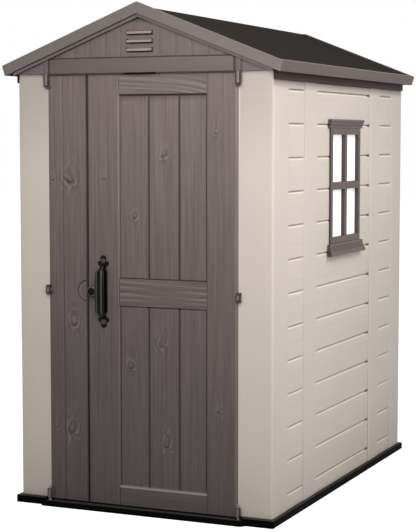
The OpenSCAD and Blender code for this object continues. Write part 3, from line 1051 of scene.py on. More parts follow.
@dataclass(frozen=True)
class Timber:
    """The wood that the mould copies: how its grain runs and how far it stands out."""

    knots: tuple[Knot, ...]
    line: float = 8 * MM
    run: float = 0.55
    bend: float = 3.0
    reach: float = 8.0
    oval: float = 1.25
    skirt: float = 1.5
    swirl: float = 1.5

    def across(self, x: float, z: float) -> float:
        """Measures across the grain, bent round the knots.

        Args:
            x: Distance across the board.
            z: Distance along the board.

        Returns:
            The distance as the grain lines count it.
        """
        total = x
        for knot in self.knots:
            away = knot.away(x, z, self.bend)
            if away < knot.radius:
                return knot.x + 0.9 * (knot.radius - away)
            if away < self.reach * knot.radius:
                half = self.reach / 2
                fade = 1 - ease((away / knot.radius - half) / half)
                total -= (x - knot.x) * (knot.radius / away) ** 2 * fade
        return total

    def ridge(self, across: float, along: float, board: float) -> float:
        """Height of the grain, from -1 to 1.

        Args:
            across: Distance across the grain.
            along: Distance along the grain.
            board: Number of the board.

        Returns:
            The height.
        """
        place = Vector((across / self.line, along / self.run, board * 7.3))
        return noise.noise(place) + 0.45 * noise.noise(place * 2.1)

    def dome(self, x: float, z: float) -> float:
        """How far the knots stand out at a place.

        Args:
            x: Distance across the board.
            z: Distance along the board.

        Returns:
            The rise of the highest knot there, or 0.
        """
        reaches = ((knot, self.skirt * knot.radius) for knot in self.knots)
        rises = (knot.rise * ease(1 - knot.away(x, z, self.oval) / far) for knot, far in reaches)
        return max(rises, default=0.0)

    def rings(self, x: float, z: float) -> float:
        """Rings round the knots, from -1 in a dark ring to 1 on a pale one.

        Args:
            x: Distance across the board.
            z: Distance along the board.

        Returns:
            The tone, with the rings of every knot added up.
        """
        total = 0.0
        for knot in self.knots:
            size = self.swirl * knot.radius
            across, up = (x - knot.x) / size, (z - knot.z) / size
            if abs(across) > 3.6 or not -4 < up < 7:
                continue
            # The rings waver, reach further above the knot than below it, and fade outwards
            across += 0.6 * noise.noise(Vector((across * 0.9, up * 0.6, knot.z * 9)))
            up += 1.1 * noise.noise(Vector((across * 0.8, up * 0.5, knot.z * 9 + 5)))
            away = math.hypot(across, up / (2.0 if up > 0 else 1.2))
            turn = 0.16 * math.sin(math.atan2(up, across) * 2 + knot.z * 50)
            fade = math.exp(-((away / 1.7) ** 2)) * (0.4 + 0.75 * ease(0.5 - 0.4 * up))
            wave = math.cos(math.tau * (away + turn - 0.2))
            wave *= 1.25 if wave < 0 else 0.8
            total += (wave + 0.3 * ease(up)) * fade * ease(0.25 + away)
        return total

    def shade(self, x: float, z: float) -> float:
        """Painted shade under the lower edge of a knot, from 0 to 1.

        Args:
            x: Distance across the board.
            z: Distance along the board.

        Returns:
            The share of painted shade.
        """
        # The value is painted shade, as below a knot's dome lit from above
        dirt = 0.0
        for knot in self.knots:
            away = knot.away(x, z, self.oval)
            if 0 < away < 2 * knot.radius and z < knot.z:
                under = ease((knot.z - z) / self.oval / away)
                dirt = max(dirt, under * dent((away - knot.radius) / (0.6 * knot.radius)))
        return dirt


# ---- Walls -----------------------------------------------------------------


@dataclass
class Cladding:
    """The horizontal boards moulded into the side and rear walls."""

    first: float = 97.2 * MM
    pitch: float = 135.5 * MM
    rows: int = 13
    step: float = 5.5 * MM
    flank: float = 3 * MM
    lip: float = 9.0 * MM
    field_sink: float = 2.6 * MM
    end_run: float = 12 * MM
    seam_depth: float = 2.5 * MM
    seam_half: float = 3 * MM
    pit_depth: float = 7 * MM
    pit_half: float = 9 * MM
    # Painted shadow under the eave; painted shade near the top, towards the foot, in the steps, the
    # pits and along the ends of the runs; a painted highlight on each lip
    painted_eave_shadow: float = 38 * MM
    painted_top_shade: float = 0.34
    foot_darkening: float = 0.22
    painted_low_shade: float = 0.14
    step_shade: float = 0.45
    pit_shade: float = 1.6
    run_end_shade: tuple[float, float] = (0.3, 0.12)
    lip_highlight: float = 0.4
    strip_rubbed: float = 0.25
    eave: float = field(default_factory=lambda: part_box("eave_beam_right")[0][2])
    seam: float = field(default_factory=lambda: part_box("side_panel_right_middle")[1][1])
    groove_marks: tuple[float, ...] = (6.5, 4.8, 4, 3, 1.5, 0, -1.2, -2.6, -3.4, -5.5, -7.5, -10.5)
    end_marks: tuple[float, ...] = (-14, -10, -5, -3, -1.2, 0, 1.2, 3, 6, 9)
    side_near: tuple[float, float] = (0.500, 0.690)
    rear_near: tuple[float, float] = (0.392, 0.540)

    def z_marks(self) -> list[float]:
        """Heights that need a grid line: the edges of every groove."""
        grooves = [self.first + self.pitch * n for n in range(self.rows)]
        return [mark for groove in grooves for mark in near(groove, *self.groove_marks)]

    def fields(self, wall: Wall) -> list[tuple[float, float]]:
        """Lists the runs of boards on a wall.

        Args:
            wall: The wall.

        Returns:
            Start and end of each run, as X or Y.
        """
        if wall is Wall.FRONT:
            return []
        near, far = self.rear_near if wall is Wall.REAR else self.side_near
        wide = (-self.seam, self.seam) if wall is Wall.REAR else (8 * MM - self.seam, self.seam)
        return [(-far, -near), wide, (near, far)]

    def u_marks(self, wall: Wall) -> list[float]:
        """Places along a wall that need a grid line: the ends of its boards."""
        ends = [end for low, high in self.fields(wall) for end in ((low, 1), (high, -1))]
        return [end + way * d * MM for end, way in ends for d in self.end_marks]

    def _inside(self, wall: Wall, u: float) -> tuple[float, int]:
        """Measures how far inside a run of boards a place lies.

        Args:
            wall: The wall.
            u: X or Y of the place.

        Returns:
            The distance from the nearer end, and the run's number or -1 outside.
        """
        for number, (low, high) in enumerate(self.fields(wall)):
            if low < u < high:
                away_low = 1.0 if low <= -self.seam < u and low == -self.seam else u - low
                away_high = 1.0 if high == self.seam else high - u
                return min(away_low, away_high), number
        return 0.0, -1

    def row(self, z: float) -> tuple[int, float]:
        """Finds the groove nearest to a height.

        Args:
            z: The height.

        Returns:
            The groove's number and the height above it.
        """
        number = min(max(round((z - self.first) / self.pitch), 0), self.rows - 1)
        return number, z - self.first - number * self.pitch

    def groove(self, away: float, z: float) -> float:
        """Depth of the groove at a place in a run of boards.

        Args:
            away: Distance from the end of the run.
            z: Height.

        Returns:
            The depth, from 0 to the step.
        """
        above = self.row(z)[1]
        shape = ease(1 - above / self.flank) if above >= 0 else ease(1 + above / self.lip)
        return self.step * shape * ease(away / self.end_run)

    def depth(self, spot: Spot, z: float) -> float:
        """Depth of the relief below the wall's face.

        Args:
            spot: Place along the wall.
            z: Height of the place.

        Returns:
            The depth.
        """
        away, number = self._inside(spot.wall, spot.u)
        line = self.seam_depth * self.seam_line(spot)
        if number < 0:
            return line
        sunk = 0.0 if number == 1 else self.field_sink * ease(away / self.flank)
        return sunk + max(line, self.groove(away, z) + self.pit(spot, z))

    def seam_line(self, spot: Spot) -> float:
        """The joint beside the wide run of boards, from 0 to 1 at its middle."""
        joint = notch(spot.from_middle, self.seam + 0.5 * MM, self.seam_half)
        return 0.0 if spot.wall is Wall.FRONT else joint

    def pit(self, spot: Spot, z: float) -> float:
        """Depth of the small gap where a groove runs out at a panel seam.

        Args:
            spot: Place along the wall.
            z: Height of the place.

        Returns:
            The depth.
        """
        across, up = spot.from_middle - self.seam + 5 * MM, self.row(z)[1] + 1 * MM
        away = math.hypot(across / self.pit_half, up / self.pit_half)
        return self.pit_depth * ease(1.3 - 1.3 * away)

    def grain(self, spot: Spot, z: float) -> Point:
        """Grain place: boards run level, the plain strips run upright.

        Args:
            spot: Place along the wall.
            z: Height of the place.

        Returns:
            Distance across and along the grain, and the board's number.
        """
        number = self._inside(spot.wall, spot.u)[1]
        if number < 0:
            return spot.u, z, 40.0 + spot.wall.value
        board = math.floor((z - self.first) / self.pitch)
        return z, spot.u, board * 3.0 + number * 17 + spot.wall.value * 71

    def wear(self, spot: Spot, z: float) -> float:
        """Dark seams, painted shade in the steps, pits and run ends, a painted highlight on the lip
        below each step, painted shadow under the roof, and painted shade near the top and foot.

        Args:
            spot: Place along the wall.
            z: Height of the place.

        Returns:
            The wear, below 0 where there is dirt.
        """
        away, number = self._inside(spot.wall, spot.u)
        side = spot.wall in (Wall.LEFT, Wall.RIGHT)
        # Painted shade and shadow, summed in haze: darker near the top, under the eave and towards
        # the foot
        top = (0.5 if side else 1.0) * self.painted_top_shade * ease((z - 1.35) / 0.4)
        haze = top + self.foot_darkening * (1 - ease(z / 0.35))
        if side:
            haze += ease((z - self.eave + self.painted_eave_shadow) / self.painted_eave_shadow)
            haze += self.painted_low_shade * (1 - ease(z / 0.9))
        tone = -min(1.0, haze)
        line = (0.5 - 0.35 * ease((z - 0.3) / 1.3)) * self.seam_line(spot)
        if number >= 0:
            above = self.row(z)[1]
            run = min(1.0, away / self.end_run)
            # Painted shade in each step and pit, a painted highlight on the lip below, and shade at
            # the ends of the runs
            if -3 * MM <= above < 5 * MM:
                line = max(line, self.step_shade * run)
            if self.pit(spot, z) > 1.5 * MM:
                line = self.pit_shade
            if line == 0 and -10 * MM < above < -3 * MM:
                tone += self.lip_highlight * run
            if number != 1:
                line = max(line, self.run_end_shade[number > 0] * ease(1 - away / (6 * MM)))
        elif side and 3.5 * MM < spot.u - self.seam < 12 * MM:
            tone += self.strip_rubbed
        return tone - line

    def smooth(self, spot: Spot, z: float) -> float:
        """How plain the grain is: full on the strips between the boards."""
        return 0.0 if self._inside(spot.wall, spot.u)[1] >= 0 else 0.8


@dataclass
class Walls:
    """The beige shell: four corner mouldings and three panels between them."""

    finishes: Finishes
    cladding: Cladding = field(default_factory=Cladding)
    corner_radius: float = 10 * MM
    panel_sink: float = 1.5 * MM
    sheet_edge: float = 1.2 * MM
    grid_along: float = 45 * MM
    grid_up: float = 70 * MM

    def build(self) -> None:
        """Makes the corners, the panels and the door stops."""
        (_, low_y, foot), (high_x, _, top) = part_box("front_panel_right")
        self.foot, self.front_top = foot, top
        self.side_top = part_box("side_panel_right_front")[1][2]
        self.half_w, self.half_d = high_x, -low_y
        self.door_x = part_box("front_panel_right")[0][0]
        self.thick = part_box("front_panel_right")[1][1] - low_y
        seam = self.cladding.seam
        w, d = self.half_w, self.half_d
        corners = (
            ("front_right", (self.door_x, -d), (w, -seam), (Wall.FRONT, Wall.RIGHT), (w, -d)),
            ("rear_right", (w, seam), (seam, d), (Wall.RIGHT, Wall.REAR), (w, d)),
            ("rear_left", (-seam, d), (-w, seam), (Wall.REAR, Wall.LEFT), (-w, d)),
            ("front_left", (-w, -seam), (-self.door_x, -d), (Wall.LEFT, Wall.FRONT), (-w, -d)),
        )
        for name, start, end, walls, corner in corners:
            path = PlanPath(start, end, walls, corner, self.corner_radius)
            end_name, side = name.split("_")
            nodes = (f"{end_name}_panel_{side}", f"side_panel_{side}_{end_name}")
            self._sheet(f"corner_{name}", path, nodes)
        middles = (
            ("side_panel_right_middle", (w, -seam), (w, seam), Wall.RIGHT),
            ("rear_panel_middle", (seam, d), (-seam, d), Wall.REAR),
            ("side_panel_left_middle", (-w, seam), (-w, -seam), Wall.LEFT),
        )
        for name, start, end, wall in middles:
            self._sheet(f"{name}_boards", PlanPath(start, end, (wall,)), (name,))
        for side in ("left", "right"):
            keep(f"door_stop_{side}", self.finishes.beige_z, 1.5 * MM)
        self._jambs()

    def _jambs(self) -> None:
        """Adds the seal strips that close the gaps beside the leaves' hinged edges."""
        seals = (
            ("right", self.finishes.beige_z, "beige_resin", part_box("main_door")[1][0]),
            ("left", self.finishes.brown_z, "brown_resin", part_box("narrow_door")[0][0]),
        )
        back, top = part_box("door_stop_right")[0][1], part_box("main_door")[1][2]
        for side, material, slot, leaf in seals:
            edge = math.copysign(self.door_x, leaf)
            corner = (leaf + math.copysign(0.8 * MM, leaf), 1 * MM - self.half_d, self.foot)
            seal = block(f"jamb_seal_{side}", corner, (edge, back, top), 0.4 * MM)
            settle(seal, material, "root", (f"front_panel_{side}",))

    def _sheet(self, name: str, path: PlanPath, nodes: tuple[str, ...]) -> None:
        """Makes one moulding of the shell.

        Args:
            name: Name of the piece.
            path: Its run in plan.
            nodes: CAD nodes that it replaces.
        """
        window = Opening.of_window() if "right_middle" in name else None
        middle = not path.corner
        on_side = path.walls in ((Wall.RIGHT,), (Wall.LEFT,))
        top = self.side_top if on_side else self.front_top
        z_marks = self.cladding.z_marks() + [self.side_top, self.foot + 2 * MM, top - 2 * MM]
        s_marks = [path.where(wall, u) for wall in path.walls for u in self._marks(wall, path)]
        s_marks += near(0.0, 0.6, 1.5, 4) + near(path.length, -0.6, -1.5, -4)
        if path.corner:
            a, b = path.bend
            s_marks += [a + (b - a) * i / 6 for i in range(7)]
        if window:
            z_marks += [window.low, window.high]

        def depth(spot: Spot, z: float) -> float:
            """Relief, the panel's own sink and its eased edges.

            Args:
                spot: Place along the wall.
                z: Height of the place.

            Returns:
                The depth.
            """
            edge = min(self._edge(spot, path), z - self.foot, top - z)
            eased = self.sheet_edge * ease(1 - edge / (1.5 * MM))
            return self.cladding.depth(spot, z) + (self.panel_sink if middle else 0) + eased

        def solid(spot: Spot, z: float) -> bool:
            """False in the window's hole and above a side wall's top.

            Args:
                spot: Place along the wall.
                z: Height of the place.

            Returns:
                Whether the wall is there.
            """
            on_side = spot.wall in (Wall.RIGHT, Wall.LEFT)
            if z > self.side_top and on_side and abs(spot.y) < self.half_d - self.corner_radius:
                return False
            return not (window and window.holds(spot.u, z))

        sheet = Sheet(
            name,
            path,
            spread(0, path.length, self.grid_along, s_marks),
            spread(self.foot, top, self.grid_up, z_marks),
            self.thick,
            depth,
            self.cladding.grain,
            self.cladding.wear,
            self.cladding.smooth,
            solid=solid,
        )
        settle(sheet.build(), self.finishes.boards_beige, "root", nodes)

    def _marks(self, wall: Wall, path: PlanPath) -> list[float]:
        """Lists the marks of a wall that lie on a path.

        Args:
            wall: The wall.
            path: The path.

        Returns:
            X or Y of each mark.
        """
        marks = [u for u in self.cladding.u_marks(wall) if 0 < path.where(wall, u) < path.length]
        if wall is Wall.RIGHT and not path.corner:
            window = Opening.of_window()
            marks += [window.left, window.right]
        if path.corner:
            turn = path.bend[0]
            first = wall is path.walls[0]
            marks = [u for u in marks if (path.where(wall, u) < turn) == first]
        return marks

    @staticmethod
    def _edge(spot: Spot, path: PlanPath) -> float:
        """Distance of a place from the nearer end of its path."""
        return min(math.hypot(spot.x - x, spot.y - y) for x, y in (path.start, path.end))


@dataclass(frozen=True)
class Opening:
    """The hole of the window in the right wall."""

    left: float
    right: float
    low: float
    high: float

    @classmethod
    def of_window(cls) -> "Opening":
        """Reads the hole's edges off the panes, with the frame's lining round them."""
        (_, y0, z0), (_, y1, z1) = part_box("window_panes")
        return cls(y0 - 14 * MM, y1 + 14 * MM, z0 - 14 * MM, z1 + 14 * MM)

    def holds(self, y: float, z: float) -> bool:
        """Tells whether a place lies in the hole."""
        return self.left < y < self.right and self.low < z < self.high


# ---- Doors -----------------------------------------------------------------


@dataclass
class Leaf:
    """What both door leaves share: their mould, grain and grid."""

    finishes: Finishes
    node: str
    timber: Timber
    relief: float = 0.9 * MM
    ring_relief: float = 0.6 * MM
    ring_tone: float = 0.42
    # Painted shade under the knots
    knot_shade: float = 0.5
    # Painted shade along the gap between the leaves
    leaf_gap_shade: float = 0.6
    gap_half: float = 3.5 * MM
    grid_x: float = 4.6 * MM
    grid_z: float = 22 * MM
    edge: float = 2.5 * MM
    hinge_edge: float = 16 * MM
    hinge_drop: float = 6 * MM
    hinge_side: int = 1

    def __post_init__(self) -> None:
        """Reads the leaf's size off its CAD node."""
        self.low, self.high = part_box(self.node)
        self.thick = self.high[1] - self.low[1]

    def rounded(self, x: float, z: float) -> float:
        """Sink of the rounded edges: wide along the hinges and narrow elsewhere.

        Args:
            x: X of the place.
            z: Height of the place.

        Returns:
            The sink.
        """
        hinge = self.high[0] - x if self.hinge_side > 0 else x - self.low[0]
        free = x - self.low[0] if self.hinge_side > 0 else self.high[0] - x
        away = min(free, z - self.low[2], self.high[2] - z)
        turn = max(0.0, 1 - hinge / self.hinge_edge)
        bead = self.hinge_drop * (1 - math.sqrt(max(0.0, 1 - turn * turn)))
        return max(bead, self.edge * ease(1 - away / self.edge) * 0.8)

    def sheet(
        self,
        name: str,
        depth: Callable[[float, float], float],
        grain: Callable[[float, float], Point],
        wear: Callable[[float, float], float],
        x_marks: list[float],
        z_marks: list[float],
    ) -> Object:
        """Makes the leaf's mesh.

        Args:
            name: Name of the piece.
            depth: Depth of the mould's form at X and Z, without grain.
            grain: Grain place at X and Z.
            wear: Wear at X and Z.
            x_marks: Extra grid lines across.
            z_marks: Extra grid lines up.

        Returns:
            The object.
        """
        (x0, y0, z0), (x1, _, z1) = self.low, self.high

        def cut(spot: Spot, z: float) -> float:
            """The form with the grain cut into it.

            Args:
                spot: Place along the wall.
                z: Height of the place.

            Returns:
                The depth.
            """
            rim = ease(min(spot.x - x0, x1 - spot.x, z - z0, z1 - z) / (6 * MM))
            grained = self._grained(spot.x, z, grain(spot.x, z))
            return depth(spot.x, z) + self.rounded(spot.x, z) + grained * rim

        edges = (0.6, 1.4, 2.6, 6, 9, 12, 15)
        inward = [-d for d in edges]
        z_marks = z_marks + [
            k.z + s * k.radius * f
            for k in self.timber.knots
            if x0 < k.x < x1
            for s in ENDS
            for f in (0.4, 0.9, 1.4, 2.0, 2.7)
        ]
        s_marks = [m - x0 for m in x_marks] + near(0.0, *edges) + near(x1 - x0, *inward)
        z_marks += near(z0, *edges) + near(z1, *inward)
        sheet = Sheet(
            name,
            PlanPath((x0, y0), (x1, y0), (Wall.FRONT,)),
            spread(0, x1 - x0, self.grid_x, s_marks),
            spread(z0, z1, self.grid_z, z_marks),
            self.thick,
            cut,
            lambda spot, z: grain(spot.x, z),
            lambda spot, z: wear(spot.x, z) + self.marks(spot.x, z),
        )
        return sheet.build()

    def _grained(self, x: float, z: float, place: Point) -> float:
        """Depth of the grain, less what the knots and their rings stand out.

        Args:
            x: X of the place.
            z: Height of the place.
            place: Grain place there.

        Returns:
            The depth.
        """
        grained = self.relief * self.gain(x, z) * (0.5 - 0.5 * self.timber.ridge(*place))
        return grained - (self.timber.dome(x, z) + self.ring_relief * self.timber.rings(x, z))

    def marks(self, x: float, z: float) -> float:
        """Tone of the knots: pale and dark rings, and painted shade under their lower edge."""
        return self.ring_tone * self.timber.rings(x, z) - self.knot_shade * self.timber.shade(x, z)

    def gain(self, x: float, z: float) -> float:
        """How deep the grain is cut at a place, as a share of the relief."""
        return 1.0


@dataclass
class MainDoor(Leaf):
    """The wide leaf: stiles and rails round boards with grooves between them."""

    rail_top: float = 80 * MM
    rail_mid: float = 111 * MM
    rail_foot: float = 75 * MM
    ledge: float = 13 * MM
    stile_left: float = 141 * MM
    stile_right: float = 133 * MM
    sunk: float = 3.2 * MM
    groove: float = 6.5 * MM
    groove_depth: float = 4.6 * MM
    seam_depth: float = 2.6 * MM
    right_line: float = 4.5 * MM
    left_line: tuple[float, float] = (2.0 * MM, 3.4 * MM)
    top_line: float = 5.4 * MM
    below_rail: float = 3.0 * MM
    above_rail: float = 3.4 * MM
    pit_depth: float = 6 * MM
    # Painted highlights on the rounded edges and on the ledge's top
    edge_highlight: float = 0.12
    ledge_highlight: float = 0.42
    seam_dirt: float = 0.3
    top_dark: tuple[float, ...] = (-0.071, -0.058, -0.044, -0.026, 0.002)
    top_pale: tuple[float, ...] = (-0.051, -0.035, -0.012)
    mid_dark: tuple[float, ...] = (-0.042, -0.021, 0.003, 0.036)
    mid_pale: tuple[float, ...] = (-0.032, -0.008, 0.022, 0.047)

    def build(self) -> None:
        """Makes the leaf."""
        (x0, _, z0), (x1, _, z1) = self.low, self.high
        self.mid = pivot("latch_pivot")[2]
        self.left, self.right = x0 + self.stile_left, x1 - self.stile_right
        self.mid_low, self.mid_high = self.mid - self.rail_mid / 2, self.mid + self.rail_mid / 2
        self.top_low = z1 - self.rail_top
        self.foot_high = z0 + self.rail_foot
        span = self.right - self.left
        self.grooves = [self.left + span / 3 + 2 * MM, self.left + 2 * span / 3 + 7 * MM]
        x_marks = near(self.left, -4, -2, -0.5, 1, 2.5, 4, 5.5, 7.5)
        x_marks += near(self.right, -5, -3, -1.5, 0, 1.5)
        for g in self.grooves:
            x_marks += [g + d * self.groove for d in (-1, -0.6, -0.2, 0, 0.2, 0.6, 1)]
        z_marks = near(self.foot_high + self.ledge, 0, 3)
        for edge in (self.mid_low, self.mid_high, self.top_low, self.foot_high):
            z_marks += near(edge, -8, -6.5, -5, -3, -1.5, 0, 1.5, 3, 5)
        rails = ((self.mid_low, self.rail_mid, 30), (self.top_low, self.rail_top, 22))
        for foot, high, count in rails:
            z_marks += [foot + i * high / count for i in range(count)]
        leaf = self.sheet("main_door_leaf", self._form, self._grain, self._wear, x_marks, z_marks)
        settle(leaf, self.finishes.boards_brown, "main_leaf", (self.node,))

    def _in_rail(self, z: float) -> int:
        """Number of the rail at a height: 0 foot, 1 middle, 2 top, or -1 between them."""
        upper = 2 if z > self.top_low else -1
        return 0 if z < self.foot_high else 1 if self.mid_low < z < self.mid_high else upper

    def _form(self, x: float, z: float) -> float:
        """Depth of the mould's form.

        Args:
            x: X of the place.
            z: Height of the place.

        Returns:
            The depth, without the grain.
        """
        if not self.left - 4 * MM < x < self.right + 2 * MM:
            return 0.0
        seam = max(notch(x, self.left, 2 * MM), notch(x, self.right, 2 * MM))
        if self._in_rail(z) >= 0:
            return self.seam_depth * seam
        # The step down from the stiles: slanted on the left, steep on the right
        side = ease((x - self.left + 3 * MM) / (6 * MM))
        side *= ease((self.right + 0.5 * MM - x) / (1.5 * MM))
        below_top, below_mid, above_mid = self.top_low - z, self.mid_low - z, z - self.mid_high
        left_line = self.left_line[below_mid > 0]
        cuts = [self.groove_depth * notch(x, g, self.groove) for g in self.grooves]
        cuts.append(self.right_line * notch(x, self.right - 2.5 * MM, 4 * MM))
        cuts.append(left_line * notch(x, self.left + 4 * MM, 3.5 * MM))
        cuts.append(self.top_line * notch(below_top, 4 * MM, 6 * MM))
        if below_mid > 0:
            cuts.append(self.below_rail * notch(below_mid, 2.2 * MM, 3 * MM))
        if above_mid > 0:
            cuts.append(self.above_rail * notch(above_mid, 2.2 * MM, 3.2 * MM))
        total = (self.sunk + max(cuts)) * side
        if 0 < below_mid < 7 * MM:
            pit = max(notch(x, g, 8 * MM) for g in self.grooves)
            total += self.pit_depth * pit * dent((below_mid - 3 * MM) / (5 * MM))
        ledge = (z - self.foot_high) / self.ledge
        if ledge < 1:
            total = min(total, (self.sunk + 3 * MM) * ledge * side)
        return total

    def _grain(self, x: float, z: float) -> Point:
        """Grain place: stiles and boards run upright, rails run level.

        Args:
            x: X of the place.
            z: Height of the place.

        Returns:
            Distance across and along the grain, and the board's number.
        """
        rail = self._in_rail(z)
        reach = (x - self.left) / (self.right - self.left)
        if rail < 0 or not self.left <= x <= self.right:
            board = 20.0 + sum(x > g for g in self.grooves) * 2.7
            board = 3.0 if x < self.left else 5.0 if x > self.right else board
            return self.timber.across(x, z), z, board
        if rail == 2:
            sweep = 24 * MM * reach + 100 * MM * max(0.0, reach - 0.6) ** 2
            return z + sweep, x * 0.4, 11.0
        if rail == 1:
            middle = (self.mid_low + self.mid_high) / 2
            return (z - middle) * (1 + 0.7 * reach), x, 13.4
        return z * 2.2, x, 15.1

    def gain(self, x: float, z: float) -> float:
        """Deeper grain on the rails than on the stiles and boards."""
        return 1.9 if self._in_rail(z) >= 1 and self.left < x < self.right else 1.0

    def _bands(self, x: float, z: float) -> float:
        """Tone of the broad grain bands on the top and middle rails.

        Args:
            x: X of the place.
            z: Height of the place.

        Returns:
            The tone, below 0 where dark.
        """
        if not self.left + 2 * MM < x < self.right - 2 * MM:
            return 0.0
        rail = self._in_rail(z)
        reach = (x - self.left) / (self.right - self.left)
        wave = 2 * MM * noise.noise(Vector((x * 6, z * 20, 3.0)))
        if rail == 2:
            place = self._grain(x, z)[0] - self.high[2] + wave
            dark, pale, half = self.top_dark, self.top_pale, 5 * MM
        elif rail == 1:
            middle = (self.mid_low + self.mid_high) / 2
            place = (z - middle) * (1 + 0.3 * reach) + 12 * MM * reach + 2 * wave
            dark, pale, half = self.mid_dark, self.mid_pale, 4.5 * MM
        else:
            return 0.0
        strong = 0.22 + 0.3 * noise.noise(Vector((x * 5, place * 40, 9.0)))
        lit, unlit = (max(notch(place, band, half) for band in bands) for bands in (pale, dark))
        return strong * (lit - 1.3 * unlit)

    def _wear(self, x: float, z: float) -> float:
        """Painted shade in the grooves, broad bands on the rails and painted highlights on the
        edges.

        Args:
            x: X of the place.
            z: Height of the place.

        Returns:
            The wear, below 0 where there is dirt.
        """
        form = self._form(x, z)
        ledge_low, ledge_high = self.foot_high - 1 * MM, self.foot_high + self.ledge
        # Painted shade along the gap between the leaves
        if x - self.low[0] < self.gap_half:
            return -self.leaf_gap_shade
        if self.high[0] - x < self.hinge_edge:
            return self.edge_highlight * ease((self.hinge_edge - self.high[0] + x) / (6 * MM))
        if ledge_low < z < ledge_high and self.left < x < self.right:
            return self.ledge_highlight
        # Painted shade, deeper where the groove is deeper
        if form > self.sunk + 0.8 * MM:
            return -min(0.9, (form - self.sunk) / (3.4 * MM))
        if self._in_rail(z) >= 0 and form > 1 * MM:
            return -self.seam_dirt
        if 0 < self.left - x < 5 * MM:
            return self.edge_highlight if z > self.mid_low else 0.05
        return self._bands(x, z)


@dataclass
class NarrowDoor(Leaf):
    """The narrow leaf with one groove and the latch's round dish."""

    hinge_side: int = -1
    hinge_edge: float = 4 * MM
    hinge_drop: float = 2 * MM
    groove_x: float = 60 * MM
    lean: float = 7 * MM
    groove_depth: float = 3.2 * MM
    dish: float = 44 * MM
    dish_depth: float = 2 * MM
    dish_line: float = 2.6 * MM
    # Painted shade in the dish's rim and a painted highlight inside it
    dish_shade: float = 0.8
    dish_highlight: float = 0.15

    def build(self) -> None:
        """Makes the leaf."""
        self.mid = pivot("latch_pivot")[2]
        x_marks = near(self.low[0] + self.groove_x, *range(-10, 12, 2))
        x_marks += near(self.high[0], -46, -44, -42, -40, -38, -36, -30, -24)
        ring = (0, 6, 12, 18, 24, 28, 32, 35, 38, 40, 42, 44, 46)
        z_marks = near(self.mid, *(side * d for side in ENDS for d in ring))
        leaf = self.sheet("narrow_door_leaf", self._form, self._grain, self._wear, x_marks, z_marks)
        settle(leaf, self.finishes.boards_brown, "narrow_leaf", (self.node,))

    def _groove_at(self, z: float) -> float:
        """X of the groove, which leans a little."""
        return self.low[0] + self.groove_x + self.lean * (0.5 - z / self.high[2])

    def _ring(self, x: float, z: float) -> float:
        """Distance from the dish's rim, positive inside."""
        return self.dish - math.hypot(x - self.high[0], z - self.mid)

    def _form(self, x: float, z: float) -> float:
        """Depth of the mould's form.

        Args:
            x: X of the place.
            z: Height of the place.

        Returns:
            The depth, without the grain.
        """
        cut = self.groove_depth * notch(x, self._groove_at(z), 6 * MM)
        ring = self._ring(x, z)
        if ring > -1 * MM:
            cut = self.dish_depth * ease((ring + 1 * MM) / (3 * MM))
            cut += self.dish_line * notch(ring, 2.5 * MM, 4 * MM)
        return cut

    def _grain(self, x: float, z: float) -> Point:
        """Grain place: both boards run upright."""
        board = 7.0 if x < self._groove_at(z) else 9.0
        return self.timber.across(x, z), z, board

    def _wear(self, x: float, z: float) -> float:
        """Painted shade in the groove and in the dish's rim, and a painted highlight inside the
        rim.

        Args:
            x: X of the place.
            z: Height of the place.

        Returns:
            The wear, below 0 where there is dirt.
        """
        ring = self._ring(x, z)
        # Painted shade along the gap between the leaves
        if self.high[0] - x < self.gap_half:
            return -self.leaf_gap_shade
        if 0 < ring < 5.5 * MM:
            return -self.dish_shade
        if 5.5 * MM < ring < 12 * MM:
            return self.dish_highlight
        # Painted shade in the groove, darker lower down
        return -(0.55 - 0.4 * ease(z - 0.6)) * notch(x, self._groove_at(z), 5 * MM)


def pivot(joint: str) -> Point:
    """Reads a joint's place in the frame off the record."""
    joints = frame["record"]["behaviour"]["joints"]
    return next(tuple(entry["pos_m"]) for entry in joints if entry["name"] == joint)


# ---- Hardware --------------------------------------------------------------


def upright(x: float, y: float, z: float) -> Matrix:
    """Puts a flat piece drawn in X and Y upright, facing the doors' side."""
    return Matrix.Translation((x, y, z)) @ Matrix.Rotation(math.pi / 2, 4, "X")


def runs(name: str, gap: float = 0.1) -> list[tuple[float, float]]:
    """Lists the stretches of height that the separate solids of a CAD node fill.

    Args:
        name: Name of the CAD node.
        gap: Empty height that parts two stretches.

    Returns:
        Low and high end of each stretch, from the lowest up.
    """
    heights = sorted(v.co.z for v in bpy.data.objects[name].data.vertices)
    breaks = [i for i, (a, b) in enumerate(zip(heights, heights[1:])) if b - a > gap]
    starts = [0] + [i + 1 for i in breaks]
    ends = breaks + [len(heights) - 1]
    return [(heights[a], heights[b]) for a, b in zip(starts, ends)]


def tongue_outline(
    half: float, low: float, high: float, both: bool = False, sag: float = 0.0
) -> Outline:
    """Outline of a tongue with a round foot, and a round top if asked.

    Args:
        half: Half of its width.
        low: Height of its foot.
        high: Height of its top.
        both: Whether its top is round too.
        sag: Height of the rounding, or 0 for a half circle.

    Returns:
        The outline, anticlockwise.
    """
    turns = [math.radians(t) for t in range(180, 361, 12)]
    deep = sag or half
    arc = [(half * math.cos(t), low + deep + deep * math.sin(t)) for t in turns]
    if both:
        return arc + [(-x, low + high - y) for x, y in arc]
    return arc + [(half, high), (-half, high)]


def tube_faces(rings: int, count: int) -> list[tuple[int, ...]]:
    """Lists the faces of a closed tube whose corners lie ring after ring.

    Args:
        rings: Number of rings.
        count: Number of corners in a ring.

    Returns:
        The faces of the side and of both ends.
    """
    faces: list[tuple[int, ...]] = []
    for first in range(0, (rings - 1) * count, count):
        for k in range(count):
            a, b = first + k, first + (k + 1) % count
            faces.append((a, b, b + count, a + count))
    faces.append(tuple(range(count)))
    faces.append(tuple(reversed(range((rings - 1) * count, rings * count))))
    return faces


